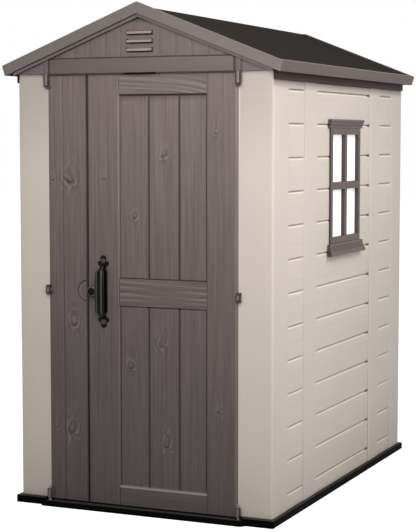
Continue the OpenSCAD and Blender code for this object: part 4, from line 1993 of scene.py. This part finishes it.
@dataclass
class Hinges:
    """Hinge knuckles of both leaves, and the pins and ears that carry them."""

    finishes: Finishes
    pin_r: float = 5 * MM
    boss_half: float = 10.5 * MM
    rib_half: float = 4.8 * MM
    ear_thick: float = 7 * MM
    # Painted shadow on the flanges, lugs and ears, and a painted highlight on the ribs and the
    # ball-ended pin
    dark: float = -0.8
    pale: float = 0.15

    def build(self) -> None:
        """Makes the knuckles on the leaves and the pins on the wall."""
        self.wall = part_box("front_panel_right")[0][1]
        for leaf, joint in (("main", "main_hinge"), ("narrow", "narrow_hinge")):
            self._knuckles(leaf, *pivot(joint)[:2])
        self._pins()

    def _knuckles(self, leaf: str, x: float, y: float) -> None:
        """Makes the knuckles of one leaf: ribs paler as a painted highlight, on flanges darkened as
        painted shadow.

        Args:
            leaf: Which leaf.
            x: X of the hinge axis.
            y: Y of the hinge axis.
        """
        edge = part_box(f"{leaf}_door")[1 if x > 0 else 0][0] - math.copysign(9 * MM, x)
        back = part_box(f"{leaf}_door")[1][1] - 4 * MM
        foot, middle, (top, pin_top) = runs(f"{leaf}_door_hinges")
        parts = []
        for (low, high), round_foot in ((foot, self.boss_half), (middle, 0.5 * MM)):
            outer = tongue_outline(self.boss_half, low, high, sag=round_foot)
            inner = tongue_outline(self.rib_half, low + 3 * MM, high - 2 * MM, both=True)
            flange = plate("flange", [outer], 8 * MM, 1.2 * MM, upright(x, y - 1 * MM, 0))
            rib = plate("rib", [inner], 5 * MM, 1.4 * MM, upright(x, y - 6.5 * MM, 0))
            corner, opposite = (x, y + 1 * MM, low + 3 * MM), (edge, back, high - 3 * MM)
            lug = block("lug", corner, opposite, 1 * MM)
            # Flanges and lugs darkened as painted shadow, ribs paler as a painted highlight
            parts += [tint(flange, self.dark), tint(rib, self.pale), tint(lug, -0.3)]
        base = top + 10 * MM
        profile = [(0, 0), (self.pin_r, 0), (self.pin_r, pin_top - base), (0, pin_top - base)]
        # The top pin and its lug are darkened: painted shade
        parts.append(tint(lathe("top_pin", profile, Matrix.Translation((x, y, base))), -0.5))
        lug = block("lug", (x, y, base + 1 * MM), (edge, back, base + 9 * MM), 1 * MM)
        obj = join(f"{leaf}_door_knuckles", parts + [tint(lug, -0.5)])
        settle(obj, self.finishes.brown_z, f"{leaf}_leaf", (f"{leaf}_door_hinges",))

    def _pins(self) -> None:
        """Makes the fixed pins: a ball-ended one at the foot, and one between two ears."""
        (foot, foot_top), (low, high) = runs("hinge_pins")
        straight = foot_top - foot - self.pin_r
        parts = []
        for joint in ("main_hinge", "narrow_hinge"):
            x, y, _ = pivot(joint)
            ball: Outline = [(0.0, 0.0), (self.pin_r, 0.0), (self.pin_r, straight)]
            for turn in range(15, 90, 15):
                t = math.radians(turn)
                ball.append((self.pin_r * math.cos(t), straight + self.pin_r * math.sin(t)))
            ball.append((0.0, straight + self.pin_r))
            # The ball-ended pin is paler: a painted highlight
            parts.append(tint(lathe("pin", ball, Matrix.Translation((x, y, foot))), 0.4))
            rod = [(0, 0), (self.pin_r, 0), (self.pin_r, high - low), (0, high - low)]
            parts.append(lathe("pin", rod, Matrix.Translation((x, y, low))))
            deep = self.wall - y + 6 * MM
            place = upright(x, self.wall - deep / 2, 0)
            sag = self.ear_thick - 1 * MM
            lower = tongue_outline(self.boss_half, low, low + self.ear_thick, sag=sag)
            upper = [(-px, low + high - py) for px, py in lower]
            for ear in (lower, upper):
                # The ears are darkened: painted shade
                parts.append(tint(plate("ear", [ear], deep, 1.0 * MM, place), -0.7))
        obj = join("hinge_pins_and_ears", parts)
        settle(obj, self.finishes.brown_z, "root", ("hinge_pins",))


@dataclass
class Handle:
    """Cast pull handle: a plate with leaf-shaped ends and a faceted grip."""

    finishes: Finishes
    plate_thick: float = 4.5 * MM
    grip_w: float = 43 * MM
    grip_shift: float = -3 * MM
    grip_deep: float = 6 * MM

    def build(self) -> None:
        """Makes the plate, the grip and the screws as one piece."""
        (x0, y0, z0), (x1, y1, z1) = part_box("door_handle")
        self.x, self.mid, self.half = (x0 + x1) / 2, (z0 + z1) / 2, (z1 - z0) / 2
        self.back, self.front = y1, y0
        parts = [self._plate()]
        parts += [self._screw(end) for end in ENDS]
        parts.append(self._grip())
        obj = join("door_pull_handle", parts)
        settle(obj, self.finishes.hardware, "main_leaf", ("door_handle",))

    def _outline(self) -> Outline:
        """Outline of the plate, from its foot round to its foot.

        Returns:
            The outline, anticlockwise.
        """
        foot = -self.half
        quarter: Outline = []
        # The round finial at the end, the wider lobes beside the screw, then the shank
        for wide, high, out, up, turns in (
            (13 * MM, 13 * MM, 0.0, 13 * MM, range(-90, 60, 15)),
            (9.5 * MM, 10 * MM, 16 * MM, 33 * MM, range(-60, 100, 15)),
        ):
            for t in map(math.radians, turns):
                quarter.append((out + wide * math.cos(t), foot + up + high * math.sin(t)))
        for out, up in ((12, 48), (11, 54), (13, 61), (17, 70)):
            quarter.append((out * MM, foot + up * MM))
        quarter.append((17 * MM, 0))
        right = quarter + [(x, -y) for x, y in reversed(quarter[:-1])]
        return right + [(-x, y) for x, y in reversed(right) if x > 0.1 * MM]

    def _plate(self) -> Object:
        """Plate with a soft rounding along its edge."""
        place = upright(self.x, self.back - self.plate_thick / 2, self.mid)
        return plate("plate", [self._outline()], self.plate_thick, 1.8 * MM, place)

    def _screw(self, end: int) -> Object:
        """Domed boss and screw head on one end of the plate.

        Args:
            end: -1 for the lower end, 1 for the upper one.

        Returns:
            The object.
        """
        z = self.mid + end * (self.half - 24 * MM)
        place = upright(self.x, self.back - self.plate_thick, z)
        boss = [(0, -1), (11, -1), (10.6, 1.2), (8.5, 3.2), (6.5, 3.8), (6, 3.2), (5.6, 3.2)]
        head = [(5.4, 3.6), (4.4, 5.2), (2.5, 6.1), (0, 6.4)]
        profile = [(r * MM, h * MM) for r, h in boss + head]
        # The boss is paler: rubbed wear and a painted highlight
        return tint(lathe("boss", profile, place, 28), 0.12)

    def _grip(self) -> Object:
        """Faceted grip on two slanted legs, swept up the handle.

        Returns:
            The object.
        """
        # Height as a share of the half, distance out of the door in mm, share of the width
        out = (self.back - self.front) / MM
        leg = (
            (0.60, 2.0, 0.4), (0.66, 7.0, 0.48), (0.68, 13.0, 0.52), (0.655, 21.0, 0.56),
            (0.62, 28.0, 0.62), (0.545, out - 7.0, 1.0), (0.25, out - 6.2, 1.03),
        )
        stations = [(-z * self.half, d * MM, w) for z, d, w in leg]
        stations.append((0.0, (out - 6.0) * MM, 1.04))
        stations += [(z * self.half, d * MM, w) for z, d, w in reversed(leg)]
        # Half of the section: across, outwards and wear; its facets meet in paler ridges,
        # rubbed and with a painted highlight
        half = [(0.0, 1.0, 0.0), (0.30, 0.96, 0.0), (0.40, 0.86, 0.14), (0.56, 0.70, 0.14)]
        half += [(0.66, 0.58, 0.0), (0.97, -0.2, 0.0), (0.97, -0.45, 0.0), (0.6, -1.0, 0.0)]
        section = half + [(-x, y, worn) for x, y, worn in reversed(half[1:])]
        points: list[Point] = []
        for i, (z, out_y, width) in enumerate(stations):
            before, after = stations[max(i - 1, 0)], stations[min(i + 1, len(stations) - 1)]
            along = Vector((0, -(after[1] - before[1]), after[0] - before[0])).normalized()
            lift = Vector((1, 0, 0)).cross(along)
            if lift.y > 0:
                lift = -lift
            for across, outer, _ in section:
                flat = across * self.grip_w / 2 * width + self.grip_shift * ease(width * 2 - 1)
                rise = lift * (outer * self.grip_deep * (0.55 + 0.45 * width))
                points.append((self.x + flat, self.back - out_y + rise.y, self.mid + z + rise.z))
        obj = outward(mesh_object("grip", points, tube_faces(len(stations), len(section)), 40))
        return wear_down(obj, [worn for _ in stations for _, _, worn in section])


@dataclass
class Latch:
    """Turning latch: a ribbed knob, its spindle and a tongue behind the leaf."""

    finishes: Finishes
    ribs: int = 12
    rib_deep: float = 0.045
    rim_rub_and_highlight: float = 0.35
    swell: float = 4 * MM

    def build(self) -> None:
        """Makes the latch as one piece."""
        x, _, z = pivot("latch_pivot")
        (x0, y0, _), (x1, y1, z1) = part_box("latch")
        radius = (x1 - x0) / 2 + self.swell
        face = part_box("main_door")[0][1]
        knob = self._knob(x, z, face - 1 * MM, y0, radius)
        deep = y1 - face + 0.5 * MM
        rod = [(0, 0), (5.5 * MM, 0), (6 * MM, 0.6 * MM), (6 * MM, deep), (0, deep)]
        spindle = lathe("spindle", rod, upright(x, y1 - 0.5 * MM, z), 24)
        corner, opposite = (x - 9 * MM, y1 - 5 * MM, z - 12 * MM), (x + 9 * MM, y1, z1)
        tongue = block("tongue", corner, opposite, 1.2 * MM)
        obj = join("turning_latch", [knob, spindle, tongue])
        settle(obj, self.finishes.hardware, "latch_turn", ("latch",))

    def _knob(self, x: float, z: float, back: float, front: float, radius: float) -> Object:
        """Turned knob with shallow ribs round its rim.

        Args:
            x: X of its axis.
            z: Height of its axis.
            back: Y of its back.
            front: Y of its face.
            radius: Its radius.

        Returns:
            The object.
        """
        high = back - front
        # Radius and distance from the back, as shares of the whole
        dome = [(0.96, 0.36), (0.93, 0.62), (0.88, 0.84), (0.78, 0.95)]
        dome += [(0.6, 0.985), (0.3, 1), (0, 1)]
        profile = [(0, 0), (radius * 0.96, 0), (radius, 1 * MM), (radius, high * 0.30)]
        profile += [(radius * r, high * h) for r, h in dome]
        knob = lathe("knob", profile, upright(x, back, z), 96)
        wear = []
        for vertex in knob.data.vertices:
            dx, dz = vertex.co.x - x, vertex.co.z - z
            if math.hypot(dx, dz) > radius * 0.7 and vertex.co.y < back - high * 0.33:
                rib = 1 - self.rib_deep * (0.5 + 0.5 * math.cos(self.ribs * math.atan2(dz, dx)))
                vertex.co.x, vertex.co.z = x + dx * rib, z + dz * rib
            away = math.hypot((vertex.co.x - x) / radius, (vertex.co.z - z) / radius)
            # A paler ring round the rim: rubbed wear and a painted highlight
            rim = self.rim_rub_and_highlight * dent((away - 0.84) / 0.18)
            wear.append(rim if vertex.co.y < back - high * 0.3 else 0.0)
        return wear_down(knob, wear)


# ---- Window ----------------------------------------------------------------


@dataclass
class Window:
    """Fixed window: moulded head, frame with four panes, and a deep sill.

    The sections of the head and the sill give shares of their depth out of the wall and of
    their height above their foot.
    """

    finishes: Finishes
    narrowing: float = 0.55
    head: tuple[tuple[float, float], ...] = (
        (0, 0), (0.45, 0), (0.50, 0.05), (0.50, 0.30), (0.56, 0.36), (0.70, 0.42), (0.74, 0.48),
        (0.74, 0.62), (0.80, 0.68), (0.94, 0.74), (1, 0.80), (1, 0.95), (0.95, 1), (0, 1),
    )
    sill: tuple[tuple[float, float], ...] = (
        (0, 0), (0.95, 0), (1, 0.04), (1, 0.20), (0.93, 0.30), (0.72, 0.42), (0.58, 0.60),
        (0.54, 0.80), (0.54, 0.90), (0.46, 1), (0, 1),
    )

    def build(self) -> None:
        """Makes the mouldings and the panes."""
        for part, profile in (("head", self.head), ("sill", self.sill)):
            self._moulding(f"window_{part}", profile, f"window_{part}_moulding")
        keep("window_frame", self.finishes.sash, 1.6 * MM)
        keep("window_panes", self.finishes.pane, 0.6 * MM)

    def _moulding(self, node_name: str, shares: Sequence[tuple[float, float]], name: str) -> None:
        """Sweeps a section along the wall, narrowing with its depth at both ends.

        Args:
            node_name: CAD node that it replaces.
            shares: Section, closed.
            name: Name of the piece.
        """
        (x0, y0, z0), (x1, y1, z1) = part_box(node_name)
        deepest = x1 - x0
        profile = [(deepest * out, (z1 - z0) * high) for out, high in shares]
        points: list[Point] = []
        for end, y in ((1, y0), (-1, y1)):
            for out, high in profile:
                points.append((x0 + out, y + end * self.narrowing * (deepest - out), z0 + high))
        count = len(profile)
        faces = [(k, (k + 1) % count, (k + 1) % count + count, k + count) for k in range(count)]
        faces += [tuple(reversed(range(count))), tuple(range(count, 2 * count))]
        obj = outward(mesh_object(name, points, faces, 25))
        # Painted shade in the hollows of the section, a painted highlight on the rest
        wear = []
        for i in range(count):
            before, here, after = (Vector(profile[(i + d) % count]) for d in (-1, 0, 1))
            hollow = 0 < i < count - 1 and (here - before).cross(after - here) < 0
            wear.append(-0.4 if hollow else 0.1)
        wear_down(obj, wear * 2)
        settle(bevel(obj, 0.8 * MM), self.finishes.trim, "root", (node_name,))


# ---- Gables and roof -------------------------------------------------------


@dataclass
class Gable:
    """Triangular gable of upright boards with three louvres in a plain middle board."""

    finishes: Finishes
    end: str
    grooves: tuple[float, ...] = (0.086, 0.156, 0.226, 0.296, 0.366, 0.436)
    groove_half: float = 5 * MM
    louvre_half: float = 60 * MM
    blade_half: float = 55 * MM
    pitch: float = 34 * MM
    louvres: int = 3
    lip: float = 9 * MM
    brink: float = 20 * MM
    groove_depth: float = 1.4 * MM
    foot_line: float = 2.5 * MM
    pocket_depth: float = 7 * MM
    relief: float = 0.3 * MM
    haze: float = 0.16
    groove_dirt: float = 0.34
    # Painted shade in the pockets round the louvres
    pocket_shade: float = 0.5
    foot_darkening: float = 0.7

    def build(self) -> None:
        """Makes the boards and the louvre blades."""
        self.sign = -1 if self.end == "front" else 1
        self.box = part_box(f"gable_{self.end}")
        self.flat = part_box("ridge_cap")[1][0]
        self.slope = (self.box[1][2] - self._side_top()) / (self.box[1][0] - self.flat)
        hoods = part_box(f"vent_hoods_{self.end}")
        self.hood_out = abs(hoods[0][1] - hoods[1][1])
        self.lows = [hoods[0][2] + i * self.pitch for i in range(self.louvres)]
        self.beam_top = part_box("header")[1][2]
        self._boards()
        self._blades()

    def _side_top(self) -> float:
        """Height of the gable at its outer ends."""
        corners = [v.co for v in bpy.data.objects[f"gable_{self.end}"].data.vertices]
        return max(co.z for co in corners if abs(co.x) > self.box[1][0] - 1 * MM)

    def _top(self, x: float) -> float:
        """Height of the gable's sloped edge."""
        return self.box[1][2] - max(0.0, abs(x) - self.flat) * self.slope

    def _louvre(self, x: float, z: float) -> float:
        """Depth of the pockets round the louvres, from 0 to 1: under a lip and at its ends.

        Args:
            x: X of the place.
            z: Height of the place.

        Returns:
            The share of the pockets' depth.
        """
        best, inside = 0.0, self.louvre_half - abs(x)
        for low in self.lows:
            above = z - low
            slit = ease((above + 7.5 * MM) / (2.5 * MM)) * ease((2 * MM - above) / (1 * MM))
            slit *= ease(inside / (4 * MM))
            side = ease((abs(x) - self.blade_half + 3 * MM) / (2 * MM)) * ease(inside / (2 * MM))
            side *= ease((above + 6 * MM) / (3 * MM)) * ease((15 * MM - above) / (4 * MM))
            best = max(best, slit, side)
        return best

    def _lines(self, x: float) -> float:
        """The grooves between the boards, from 0 to 1 at their middle."""
        return max(notch(abs(x), groove, self.groove_half) for groove in self.grooves)

    def _boards(self) -> None:
        """Makes the boards as one sheet under the roof's slopes."""
        (x0, y0, z0), (x1, y1, z1) = self.box
        start, end = ((x0, y0), (x1, y0)) if self.sign < 0 else ((x1, y1), (x0, y1))
        wall = Wall.FRONT if self.sign < 0 else Wall.REAR
        path = PlanPath(start, end, (wall,))
        shares = (-1, -0.5, 0, 0.5, 1)
        marks = [s * (g + d * self.groove_half) for g in self.grooves for s in ENDS for d in shares]
        louvre = (0, 20, 38, 44, 48, 51, 54, 56, 58, 59.5, 61, 62.5, 64)
        marks += near(0.0, *(s * d for s in ENDS for d in louvre))
        z_marks = near(self.beam_top, -1, 0, 1, 2, 3, 4, 5, 6.5)
        for low in self.lows:
            z_marks += near(low, *range(-8, 22))
        timber = Timber(())

        def depth(spot: Spot, z: float) -> float:
            """Grooves between the boards, the louvres' pockets and the grain.

            Args:
                spot: Place along the wall.
                z: Height of the place.

            Returns:
                The depth.
            """
            cut = self._lines(spot.x) * self.groove_depth
            foot_line = self.foot_line * notch(z, self.beam_top + 3 * MM, 3.5 * MM)
            pocket = self._louvre(spot.x, z)
            ridge = timber.ridge(spot.x, z, self._board(spot.x))
            grained = self.relief * (0.5 - 0.5 * ridge) * (1 - pocket)
            return max(cut, foot_line, self.pocket_depth * pocket) + grained

        sheet = Sheet(
            f"gable_boards_{self.end}",
            path,
            spread(0, path.length, 12 * MM, [path.where(wall, m) for m in marks if x0 < m < x1]),
            spread(z0, z1, 24 * MM, z_marks),
            y1 - y0,
            depth,
            lambda spot, z: (spot.x, z, self._board(spot.x)),
            self._wear,
            lambda spot, z: 0.5,
            solid=lambda spot, z: not self._slot(spot.x, z),
            top=lambda spot: self._top(spot.x),
        )
        node_name = f"gable_{self.end}"
        settle(sheet.build(), self.finishes.boards_brown, "root", (node_name,))

    def _board(self, x: float) -> float:
        """Number of the board at a place: the middle one, or one to its left or right."""
        side = 50 if x > self.grooves[0] else 0
        return 30.0 + 2.3 * sum(abs(x) > g for g in self.grooves) + side

    def _slot(self, x: float, z: float) -> bool:
        """True in the slots that let the air through, under each blade."""
        within = abs(x) < self.louvre_half - 6 * MM
        return within and any(low - 3 * MM < z < low for low in self.lows)

    def _wear(self, spot: Spot, z: float) -> float:
        """Dirt in the grooves, painted shade in the pockets, painted shadow under the roof
        and a darker line above the beam.

        Args:
            spot: Place along the wall.
            z: Height of the place.

        Returns:
            The wear, below 0 where there is dirt.
        """
        pocket = self.pocket_shade * self._louvre(spot.x, z)
        lines = self.groove_dirt * self._lines(spot.x)
        # Painted shadow below the fascia, along the sloped top
        brink = ease(1 - (self._top(spot.x) - z - self.brink) / (13 * MM))
        foot = self.foot_darkening * notch(z, self.beam_top + 2.5 * MM, 4.5 * MM)
        return -max(self.haze, pocket, lines, brink, foot)

    def _blades(self) -> None:
        """Makes the three blades: a round-ended lip with a slope behind it."""
        face = self.box[0][1] if self.sign < 0 else self.box[1][1]
        out = face + self.sign * self.hood_out
        half, run = self.lip / 2, self.blade_half - self.lip / 2
        turns = [math.radians(turn) for turn in range(-90, 91, 15)]
        outline = [(run + half * math.cos(t), half * math.sin(t)) for t in turns]
        outline += [(-x, -y) for x, y in outline]
        thick = self.hood_out + 4 * MM
        blades = []
        for low in self.lows:
            place = upright(0, out - self.sign * thick / 2, low + half)
            # The lips are paler: a painted highlight
            blades.append(tint(plate("lip", [outline], thick, 1.6 * MM, place), 0.5))
            blades.append(self._slope(out, low))
        obj = join(f"louvre_blades_{self.end}", blades)
        settle(obj, self.finishes.brown_x, "root", (f"vent_hoods_{self.end}",))

    def _slope(self, out: float, low: float) -> Object:
        """Slope that rises from a lip back into its pocket.

        Args:
            out: Y of the lip's outer face.
            low: Height of the lip's foot.

        Returns:
            The object.
        """
        half = self.blade_half - 3 * MM
        front, back = (out - self.sign * d for d in (3 * MM, self.hood_out + 6 * MM))
        section = [(front, low + 6 * MM), (front, low + self.lip - 1 * MM)]
        section += [(back, low + 16 * MM), (back, low + 13 * MM)]
        points = [(x, y, z) for x in (-half, half) for y, z in section]
        return outward(mesh_object("slope", points, tube_faces(2, len(section))))


@dataclass
class Roof:
    """Roof slopes, ridge cap, fascias, beams and the steel ridge tube."""

    finishes: Finishes

    def build(self) -> None:
        """Dresses the roof's pieces, which keep their modelled form."""
        for name in ("roof_left", "roof_right", "ridge_cap"):
            keep(name, self.finishes.roof, 1.5 * MM)
        for end in ("front", "rear"):
            for side in ("left", "right"):
                keep(f"fascia_{end}_{side}", self.finishes.fascia, 2.0 * MM)
            keep(f"lintel_{end}", self.finishes.brown_x, 1.5 * MM)
        for side in ("left", "right"):
            keep(f"fascia_eave_{side}", self.finishes.trim, 2.0 * MM)
            keep(f"eave_beam_{side}", self.finishes.beam, 1.5 * MM)
        keep("ridge_tube", self.finishes.steel, 0.8 * MM)


@dataclass
class Header:
    """Beam over the doors, its draught lip and the round-ended pin housings."""

    finishes: Finishes
    slot: tuple[float, float] = (-0.073, 0.065)
    slot_drop: float = 3.5 * MM
    lip_drop: float = 5 * MM
    gap_deep: float = 2.5 * MM
    flange_half: float = 12.5 * MM
    rib_half: float = 5.5 * MM
    tone: float = -0.26
    # Painted shade on the lip, the gaps, the flanges and the pin cores, and a painted highlight on
    # the ribs
    lip_shade: float = -0.3
    housing_gap_shade: float = -0.85
    flange_shade: float = -0.9
    rib_highlight: float = 0.12

    def build(self) -> None:
        """Makes the beam with its lip and the two housings."""
        (_, y0, z0), (_, _, z1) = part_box("header")
        _, face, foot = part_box("gable_front")[0]
        axis = pivot("main_hinge")[0]
        end, front = axis - self.flange_half - 6 * MM, face - 5 * MM
        parts = [tint(block("beam", (-end, front, foot), (end, face, z1), 1.5 * MM), self.tone)]
        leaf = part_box("main_door")[0][1]
        back, top = leaf + 4 * MM, foot + 1 * MM
        left, right = self.slot
        for low, high in ((-end, left), (right, end)):
            corner = (low, leaf - 1 * MM, foot - self.lip_drop)
            lip = block("lip", corner, (high, back, top), 0.8 * MM)
            parts.append(tint(lip, self.lip_shade))
        # A strip of black resin in the slot stands for the shade in it
        corner = (left, front + 1 * MM, foot - self.slot_drop)
        seal = block("header_seal", corner, (right, back, top), 0.5 * MM)
        settle(seal, self.finishes.tray, "root", ("header",))
        inner, outer = axis - self.flange_half + 2 * MM, axis + self.flange_half
        # Dark blocks beside the housings: painted shadow in the gaps round them
        for side in ENDS:
            corner = (side * end, face - self.gap_deep, foot)
            gap = block("gap", corner, (side * inner, face, z1 - 2 * MM), 0.3 * MM)
            parts.append(tint(gap, self.housing_gap_shade))
            corner, opposite = (side * inner, front, foot), (side * outer, face, z1)
            parts.append(tint(block("cheek", corner, opposite, 1.5 * MM), self.tone))
        beam = join("header_beam", parts)
        settle(beam, self.finishes.brown_x, "root", ("header",))
        for side, joint in (("right", "main_hinge"), ("left", "narrow_hinge")):
            self._housing(f"pin_housing_{side}", pivot(joint)[0], y0, z0, foot)

    def _housing(self, name: str, x: float, front: float, low: float, foot: float) -> None:
        """Makes a pin housing: a round-ended rib with a painted highlight, on a flange darkened as
        painted shadow.

        Args:
            name: Name of the piece.
            x: X of the pin.
            front: Y of the rib's face.
            low: Height of the flange's rounded foot.
            foot: Height of the beam's foot, where the flange ends.
        """
        flange = tongue_outline(self.flange_half, low, foot)
        rib = tongue_outline(self.rib_half, low + self.flange_half - self.rib_half, foot)
        dark = plate("flange", [flange], 4 * MM, 0.8 * MM, upright(x, front + 5 * MM, 0))
        pale = plate("rib", [rib], 7 * MM, 1.5 * MM, upright(x, front + 3.5 * MM, 0))
        high = foot - low - 8 * MM
        pin = [(0, 0), (6 * MM, 0), (6 * MM, high), (0, high)]
        core = lathe("core", pin, Matrix.Translation((x, front + 10 * MM, low + 8 * MM)))
        dark, core = tint(dark, self.flange_shade), tint(core, self.flange_shade)
        obj = join(name, [dark, tint(pale, self.rib_highlight), core])
        settle(obj, self.finishes.brown_z, "root", ("header",))


@dataclass
class Floor:
    """Floor tray in two halves and the threshold."""

    finishes: Finishes

    def build(self) -> None:
        """Dresses the floor's pieces."""
        for name in ("floor_front", "floor_rear"):
            keep(name, self.finishes.floor, 4.0 * MM)
        keep("threshold", self.finishes.tray, 2.0 * MM)


# ---- Studio ----------------------------------------------------------------


@dataclass(frozen=True)
class Lamp:
    """A soft square light."""

    name: str
    place: Point
    target: Point
    size: float
    watts: float

    def hang(self) -> None:
        """Adds the light to the scene."""
        light = bpy.data.lights.new(self.name, "AREA")
        light.shape = "SQUARE"
        light.size = self.size
        light.energy = self.watts
        holder = bpy.data.objects.new(self.name, light)
        holder.location = self.place
        aim = Vector(self.target) - Vector(self.place)
        holder.rotation_euler = aim.to_track_quat("-Z", "Y").to_euler()
        bpy.context.scene.collection.objects.link(holder)


@dataclass
class Studio:
    """White studio: pale floor, soft lights and the camera."""

    camera_place: Point = (2.7614, -6.4626, 1.5313)
    turn: float = 23.76
    tilt: float = -4.71
    lens: float = 105.13
    ambient: float = 0.25
    floor_glow: float = 0.93
    floor_half: float = 30.0
    lamps: tuple[Lamp, ...] = (
        Lamp("side_high", (2.5, -0.45, 3.3), (0.5, -0.05, 1.2), 1.6, 58.0),
        Lamp("side_middle", (3.1, -0.3, 1.6), (0.57, 0.0, 1.4), 1.6, 17.0),
        Lamp("front_high", (0.7, -2.8, 2.6), (0.1, -0.85, 1.3), 1.6, 39.0),
        Lamp("front_middle", (0.6, -3.0, 1.6), (0.1, -0.85, 1.4), 1.6, 9.0),
        Lamp("front_right", (2.2, -2.8, 1.7), (0.3, -0.8, 1.4), 1.6, 14.0),
        Lamp("rear_left", (-3.0, 3.4, 2.2), (-0.3, 0.4, 1.0), 2.4, 90.0),
        Lamp("left", (-3.6, -0.2, 2.2), (-0.5, 0.0, 1.2), 2.0, 30.0),
    )

    def build(self) -> None:
        """Sets up the world, the floor, the lights and the camera."""
        self._world()
        self._floor()
        for lamp in self.lamps:
            lamp.hang()
        camera = bpy.data.cameras.new("camera")
        camera.lens = self.lens
        camera.sensor_width = 36
        camera.clip_end = 60
        holder = bpy.data.objects.new("camera", camera)
        holder.location = self.camera_place
        holder.rotation_euler = (math.radians(90 + self.tilt), 0, math.radians(self.turn))
        bpy.context.scene.collection.objects.link(holder)
        bpy.context.scene.camera = holder
        bpy.context.scene.view_settings.view_transform = "Standard"
        LOG.info("studio is set")

    def _seen(self, tree: NodeTree) -> NodeSocket:
        """Gives 1 on rays that show the backdrop: seen, mirrored or through a pane.

        Args:
            tree: Node tree of the backdrop or the floor.

        Returns:
            Output socket with the level.
        """
        level = node(tree, "LightPath", {}, "Is Camera Ray")
        for kind in ("Is Glossy Ray", "Is Transmission Ray"):
            ray = node(tree, "LightPath", {}, kind)
            level = node(tree, "Math", {0: level, 1: ray}, operation="MAXIMUM")
        return level

    def _world(self) -> None:
        """White backdrop with a dimmer light of its own."""
        world = bpy.data.worlds.new("studio")
        world.use_nodes = True
        tree = world.node_tree
        level = node(tree, "Mix", {0: self._seen(tree), 2: self.ambient, 3: 1.0})
        plug(tree, tree.nodes["Background"], {"Color": linear("#FFFFFF"), "Strength": level})
        bpy.context.scene.world = world

    def _floor(self) -> None:
        """Pale floor that keeps only a faint shadow."""
        material, tree, shader, _ = blank("pale studio floor")
        plug(tree, shader, {"Base Color": linear("#9A9896"), "Roughness": 0.9})
        plain = shader.outputs[0]
        glow = node(tree, "Emission", {0: linear("#FFFFFF"), 1: self.floor_glow})
        both = node(tree, "AddShader", {0: plain, 1: glow})
        mixed = node(tree, "MixShader", {0: self._seen(tree), 1: plain, 2: both})
        plug(tree, tree.nodes["Material Output"], {0: mixed})
        size = self.floor_half
        corners = [(-size, -size, 0), (size, -size, 0), (size, size, 0), (-size, size, 0)]
        floor = mesh_object("studio_floor", corners, [(0, 1, 2, 3)])
        dress(floor, material)


# ---- Build -----------------------------------------------------------------


def knots(mid: float) -> tuple[Knot, ...]:
    """Lists the knots of the two leaves.

    Args:
        mid: Height of the latch, which the middle rail is centred on.

    Returns:
        The knots.
    """
    places = (
        (-0.329, 0.466, 15), (-0.408, 0.461, 7), (-0.311, -0.127, 13), (-0.324, -0.575, 14),
        (-0.392, -0.573, 6), (0.098, 0.562, 10), (0.087, -0.202, 11), (0.110, -0.608, 11),
        (-0.034, 0.312, 9), (-0.053, -0.300, 10), (-0.169, 0.464, 6), (0.326, 0.649, 6),
        (0.339, -0.457, 7),
    )
    return tuple(Knot(x, mid + z, r * MM) for x, z, r in places)


def main() -> None:
    """Builds the shed, its finishes and the studio, in order."""
    logging.basicConfig(level=logging.INFO, format="%(name)s: %(message)s")
    finishes = Finishes()
    Floor(finishes).build()
    Walls(finishes).build()
    Window(finishes).build()
    Gable(finishes, "front").build()
    Gable(finishes, "rear").build()
    Header(finishes).build()
    Roof(finishes).build()
    timber = Timber(knots(pivot("latch_pivot")[2]))
    MainDoor(finishes, "main_door", timber).build()
    NarrowDoor(finishes, "narrow_door", timber).build()
    Hinges(finishes).build()
    Handle(finishes).build()
    Latch(finishes).build()
    Studio().build()


if __name__ == "__main__":
    main()
